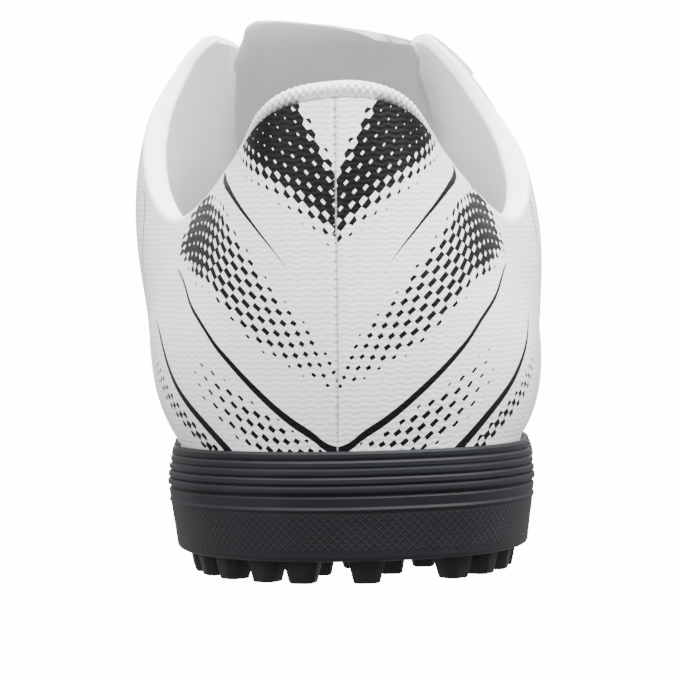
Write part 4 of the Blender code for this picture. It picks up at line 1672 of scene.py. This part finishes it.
class Insole(Assembly):
    """Cloth-faced foam plate on the cup's floor."""

    thickness: float = 0.004
    ease: float = 0.001
    dish: float = 0.0012

    def build(self) -> None:
        """Shape the plate with a raised edge."""
        last = self.last
        inset = last.foot_inset + last.wall + self.ease

        def middle(a: float, q: float) -> tuple[Vector, Vector]:
            """Middle of the plate from the medial to the lateral edge."""
            left, right = a * last.rows / 2, last.rows - a * last.rows / 2
            level = last.gap + self.thickness / 2
            first = last.sole_point(left, inset, last.sole_heights(left)[1] + level)
            other = last.sole_point(right, inset, last.sole_heights(right)[1] + level)
            point = first.lerp(other, q)
            point.z += self.dish * abs(2 * q - 1) ** 5
            return point, Vector((0, 0, 1))

        plate = pillow("insole_plate", 120, 56, middle, lambda a, q: self.thickness / 2)
        plate.data.materials.append(INSOLE_CLOTH.make())
        self.finish_piece(plate, "grey_foam_cloth", ["insole"])


class Laces(Assembly):
    """Flat braided lace, crossed over the throat and run through the eyelets."""

    width: float = 0.0062
    thickness: float = 0.0013
    narrow: float = 0.0030
    thick: float = 0.0015
    dive: float = 0.0013
    gap: float = 0.0003
    steps: int = 48
    ahead: float = 0.0006
    crossing_rise: float = 0.0011
    crossing_width: float = 0.16

    def build(self) -> None:
        """Sweep each crossing run and join them."""
        last = self.last
        pairs = [[eyelet(last, row, side) for side in Side] for row in EYELET_ROWS]
        runs = []
        for k in range(len(pairs) - 1):
            for side in (0, 1):
                runs.append(self._run(pairs[k][side], pairs[k + 1][1 - side], over=(k + side) % 2 == 0))
        laces = join_pieces(runs, "lace_runs")
        laces.data.materials.append(LACE_BRAID.make())
        self.finish_piece(laces, "white_braid", ["laces"])

    def _run(self, start: tuple[Vector, Vector], finish: tuple[Vector, Vector],
             over: bool) -> bpy.types.Object:
        """One run from inside one eyelet to inside the next one across.

        Args:
            start: Place and normal of the first eyelet.
            finish: Place and normal of the second one.
            over: Whether the run lies on top where two cross.

        Returns:
            The run's tube.
        """
        last = self.last
        steps = self.steps
        lift = self.gap + self.thickness
        ahead = self.ahead * (finish[0] - start[0]).normalized()
        line = []
        for k in range(steps + 1):
            way = k / steps
            plan = start[0].lerp(finish[0], way)
            bulge = math.exp(-((way - 0.5) / self.crossing_width) ** 2)
            rise = self.crossing_rise * bulge if over else 0.0
            place, normal = last.drop_on(plan.x, plan.y, lift + rise)
            line.append((place, normal))
        dives = (self.dive, self.dive * .5, 0)
        first = [(start[0] + ahead - d * start[1], start[1]) for d in dives]
        second = [(finish[0] - ahead - d * finish[1], finish[1]) for d in reversed(dives)]
        knots = first + line[3:-3] + second
        points = self._smooth([p for p, _ in knots])
        normals = self._smooth([n for _, n in knots])
        count = len(points)
        centres, across, halves = [], [], []
        for k, (place, normal) in enumerate(zip(points, normals)):
            way = (points[min(k + 1, count - 1)] - points[max(k - 1, 0)]).normalized()
            side = way.cross(normal).normalized()
            centres.append(place)
            across.append((side.cross(way).normalized(), side))
            edge = min(k, count - 1 - k) / 10
            spread = min(1.0, max(0.0, edge - 0.35)) ** 0.7
            halves.append(((self.thick + (self.thickness - self.thick) * spread) / 2,
                           (self.narrow + (self.width - self.narrow) * spread) / 2))

        def radius(a: float, b: float) -> tuple[float, float]:
            """Half sizes of the flat braid."""
            height, width = halves[min(round(a * (count - 1)), count - 1)]
            return height * squared(2 * math.pi * b), width * squared(2 * math.pi * b)

        return swept_tube("lace_run", centres, across, 16, radius)

    @staticmethod
    def _smooth(values: Sequence[Vector]) -> list[Vector]:
        """Ease the corners of a line of points."""
        values = [v.copy() for v in values]
        for _ in range(3):
            inner = [(a + 2 * b + c) / 4 for a, b, c in zip(values, values[1:], values[2:])]
            values = [values[0]] + inner + [values[-1]]
        return values


@dataclass
class Studio:
    """Camera at the photo's angle, white backdrop and soft lights."""

    back_off: float = 0.600
    height: float = 0.0633
    pitch_deg: float = 1.6
    roll_deg: float = 1.2
    focal_px: float = 3206.0
    image_px: float = 680.0
    sensor: float = 36.0
    side_step: float = -0.0008
    card_size: float = 3.6
    card_far: float = 12.0
    card_height: float = -0.37
    card_glow: float = 14.0
    world_strength: float = 0.85
    view_end: float = 30.0
    aim: tuple[float, float, float] = (0, 0, 0.06)
    # Name, place, width and power of each panel
    panels: tuple[tuple[str, tuple[float, float, float], float, float], ...] = (
        ("top_panel", (0.0, -0.25, 1.1), 1.1, 52.0),
        ("left_panel", (-0.8, -0.75, 0.75), 0.8, 14.0),
        ("right_panel", (0.75, -0.35, 0.95), 0.8, 30.0),
    )

    def build(self, last: Last) -> None:
        """Make the camera, the backdrop and the lights.

        Args:
            last: The shoe's form, for the place of its heel.
        """
        heel = last.sole_point(0, 0, 0)
        seam = last.handles(0)[3]
        data = bpy.data.cameras.new("photo_camera")
        data.sensor_width = self.sensor
        data.lens = self.focal_px / self.image_px * self.sensor
        data.clip_end = self.view_end
        camera = bpy.data.objects.new("photo_camera", data)
        bpy.context.scene.collection.objects.link(camera)
        tip = Matrix.Rotation(math.radians(90 - self.pitch_deg), 4, "X")
        roll = Matrix.Rotation(math.radians(-self.roll_deg), 4, "Z")
        place = (seam.x + self.side_step, heel.y - self.back_off, self.height)
        camera.matrix_world = Matrix.Translation(place) @ tip @ roll
        bpy.context.scene.camera = camera
        self._backdrop()
        self._lights()

    def _backdrop(self) -> None:
        """Bright white card far behind the shoe, wide enough for the picture."""
        deselect_all()
        bpy.ops.mesh.primitive_plane_add(size=self.card_size)
        card = bpy.context.object
        upright = Matrix.Rotation(math.pi / 2, 4, "X")
        card.matrix_world = Matrix.Translation((0, self.card_far, self.card_height)) @ upright
        card = settle(card, "backdrop")
        material = bpy.data.materials.new("white_card")
        material.use_nodes = True
        shader = material.node_tree.nodes["Principled BSDF"]
        shader.inputs["Base Color"].default_value = (0.8, 0.8, 0.8, 1)
        shader.inputs["Roughness"].default_value = 1.0
        shader.inputs["Emission Color"].default_value = (1, 1, 1, 1)
        shader.inputs["Emission Strength"].default_value = self.card_glow
        card.data.materials.append(material)

    def _lights(self) -> None:
        """White world with soft panels above, left and right."""
        world = bpy.data.worlds.new("studio")
        world.use_nodes = True
        glow = world.node_tree.nodes["Background"]
        glow.inputs["Color"].default_value = (1, 1, 1, 1)
        glow.inputs["Strength"].default_value = self.world_strength
        bpy.context.scene.world = world
        for name, place, size, power in self.panels:
            light = bpy.data.lights.new(name, "AREA")
            light.size = size
            light.energy = power
            lamp = bpy.data.objects.new(name, light)
            lamp.location = place
            towards = Vector(self.aim) - Vector(place)
            lamp.rotation_euler = towards.to_track_quat("-Z", "Y").to_euler()
            bpy.context.scene.collection.objects.link(lamp)


def main() -> None:
    """Build the sub-assemblies in order."""
    logging.basicConfig(level=logging.INFO, format="%(name)s: %(message)s")
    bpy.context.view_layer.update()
    last = Last()
    Studio().build(last)
    for kind in (Outsole, Upper, Stitching, CollarBinding, Tongue, Insole, Laces):
        kind(last).build()


if __name__ == "__main__":
    main()
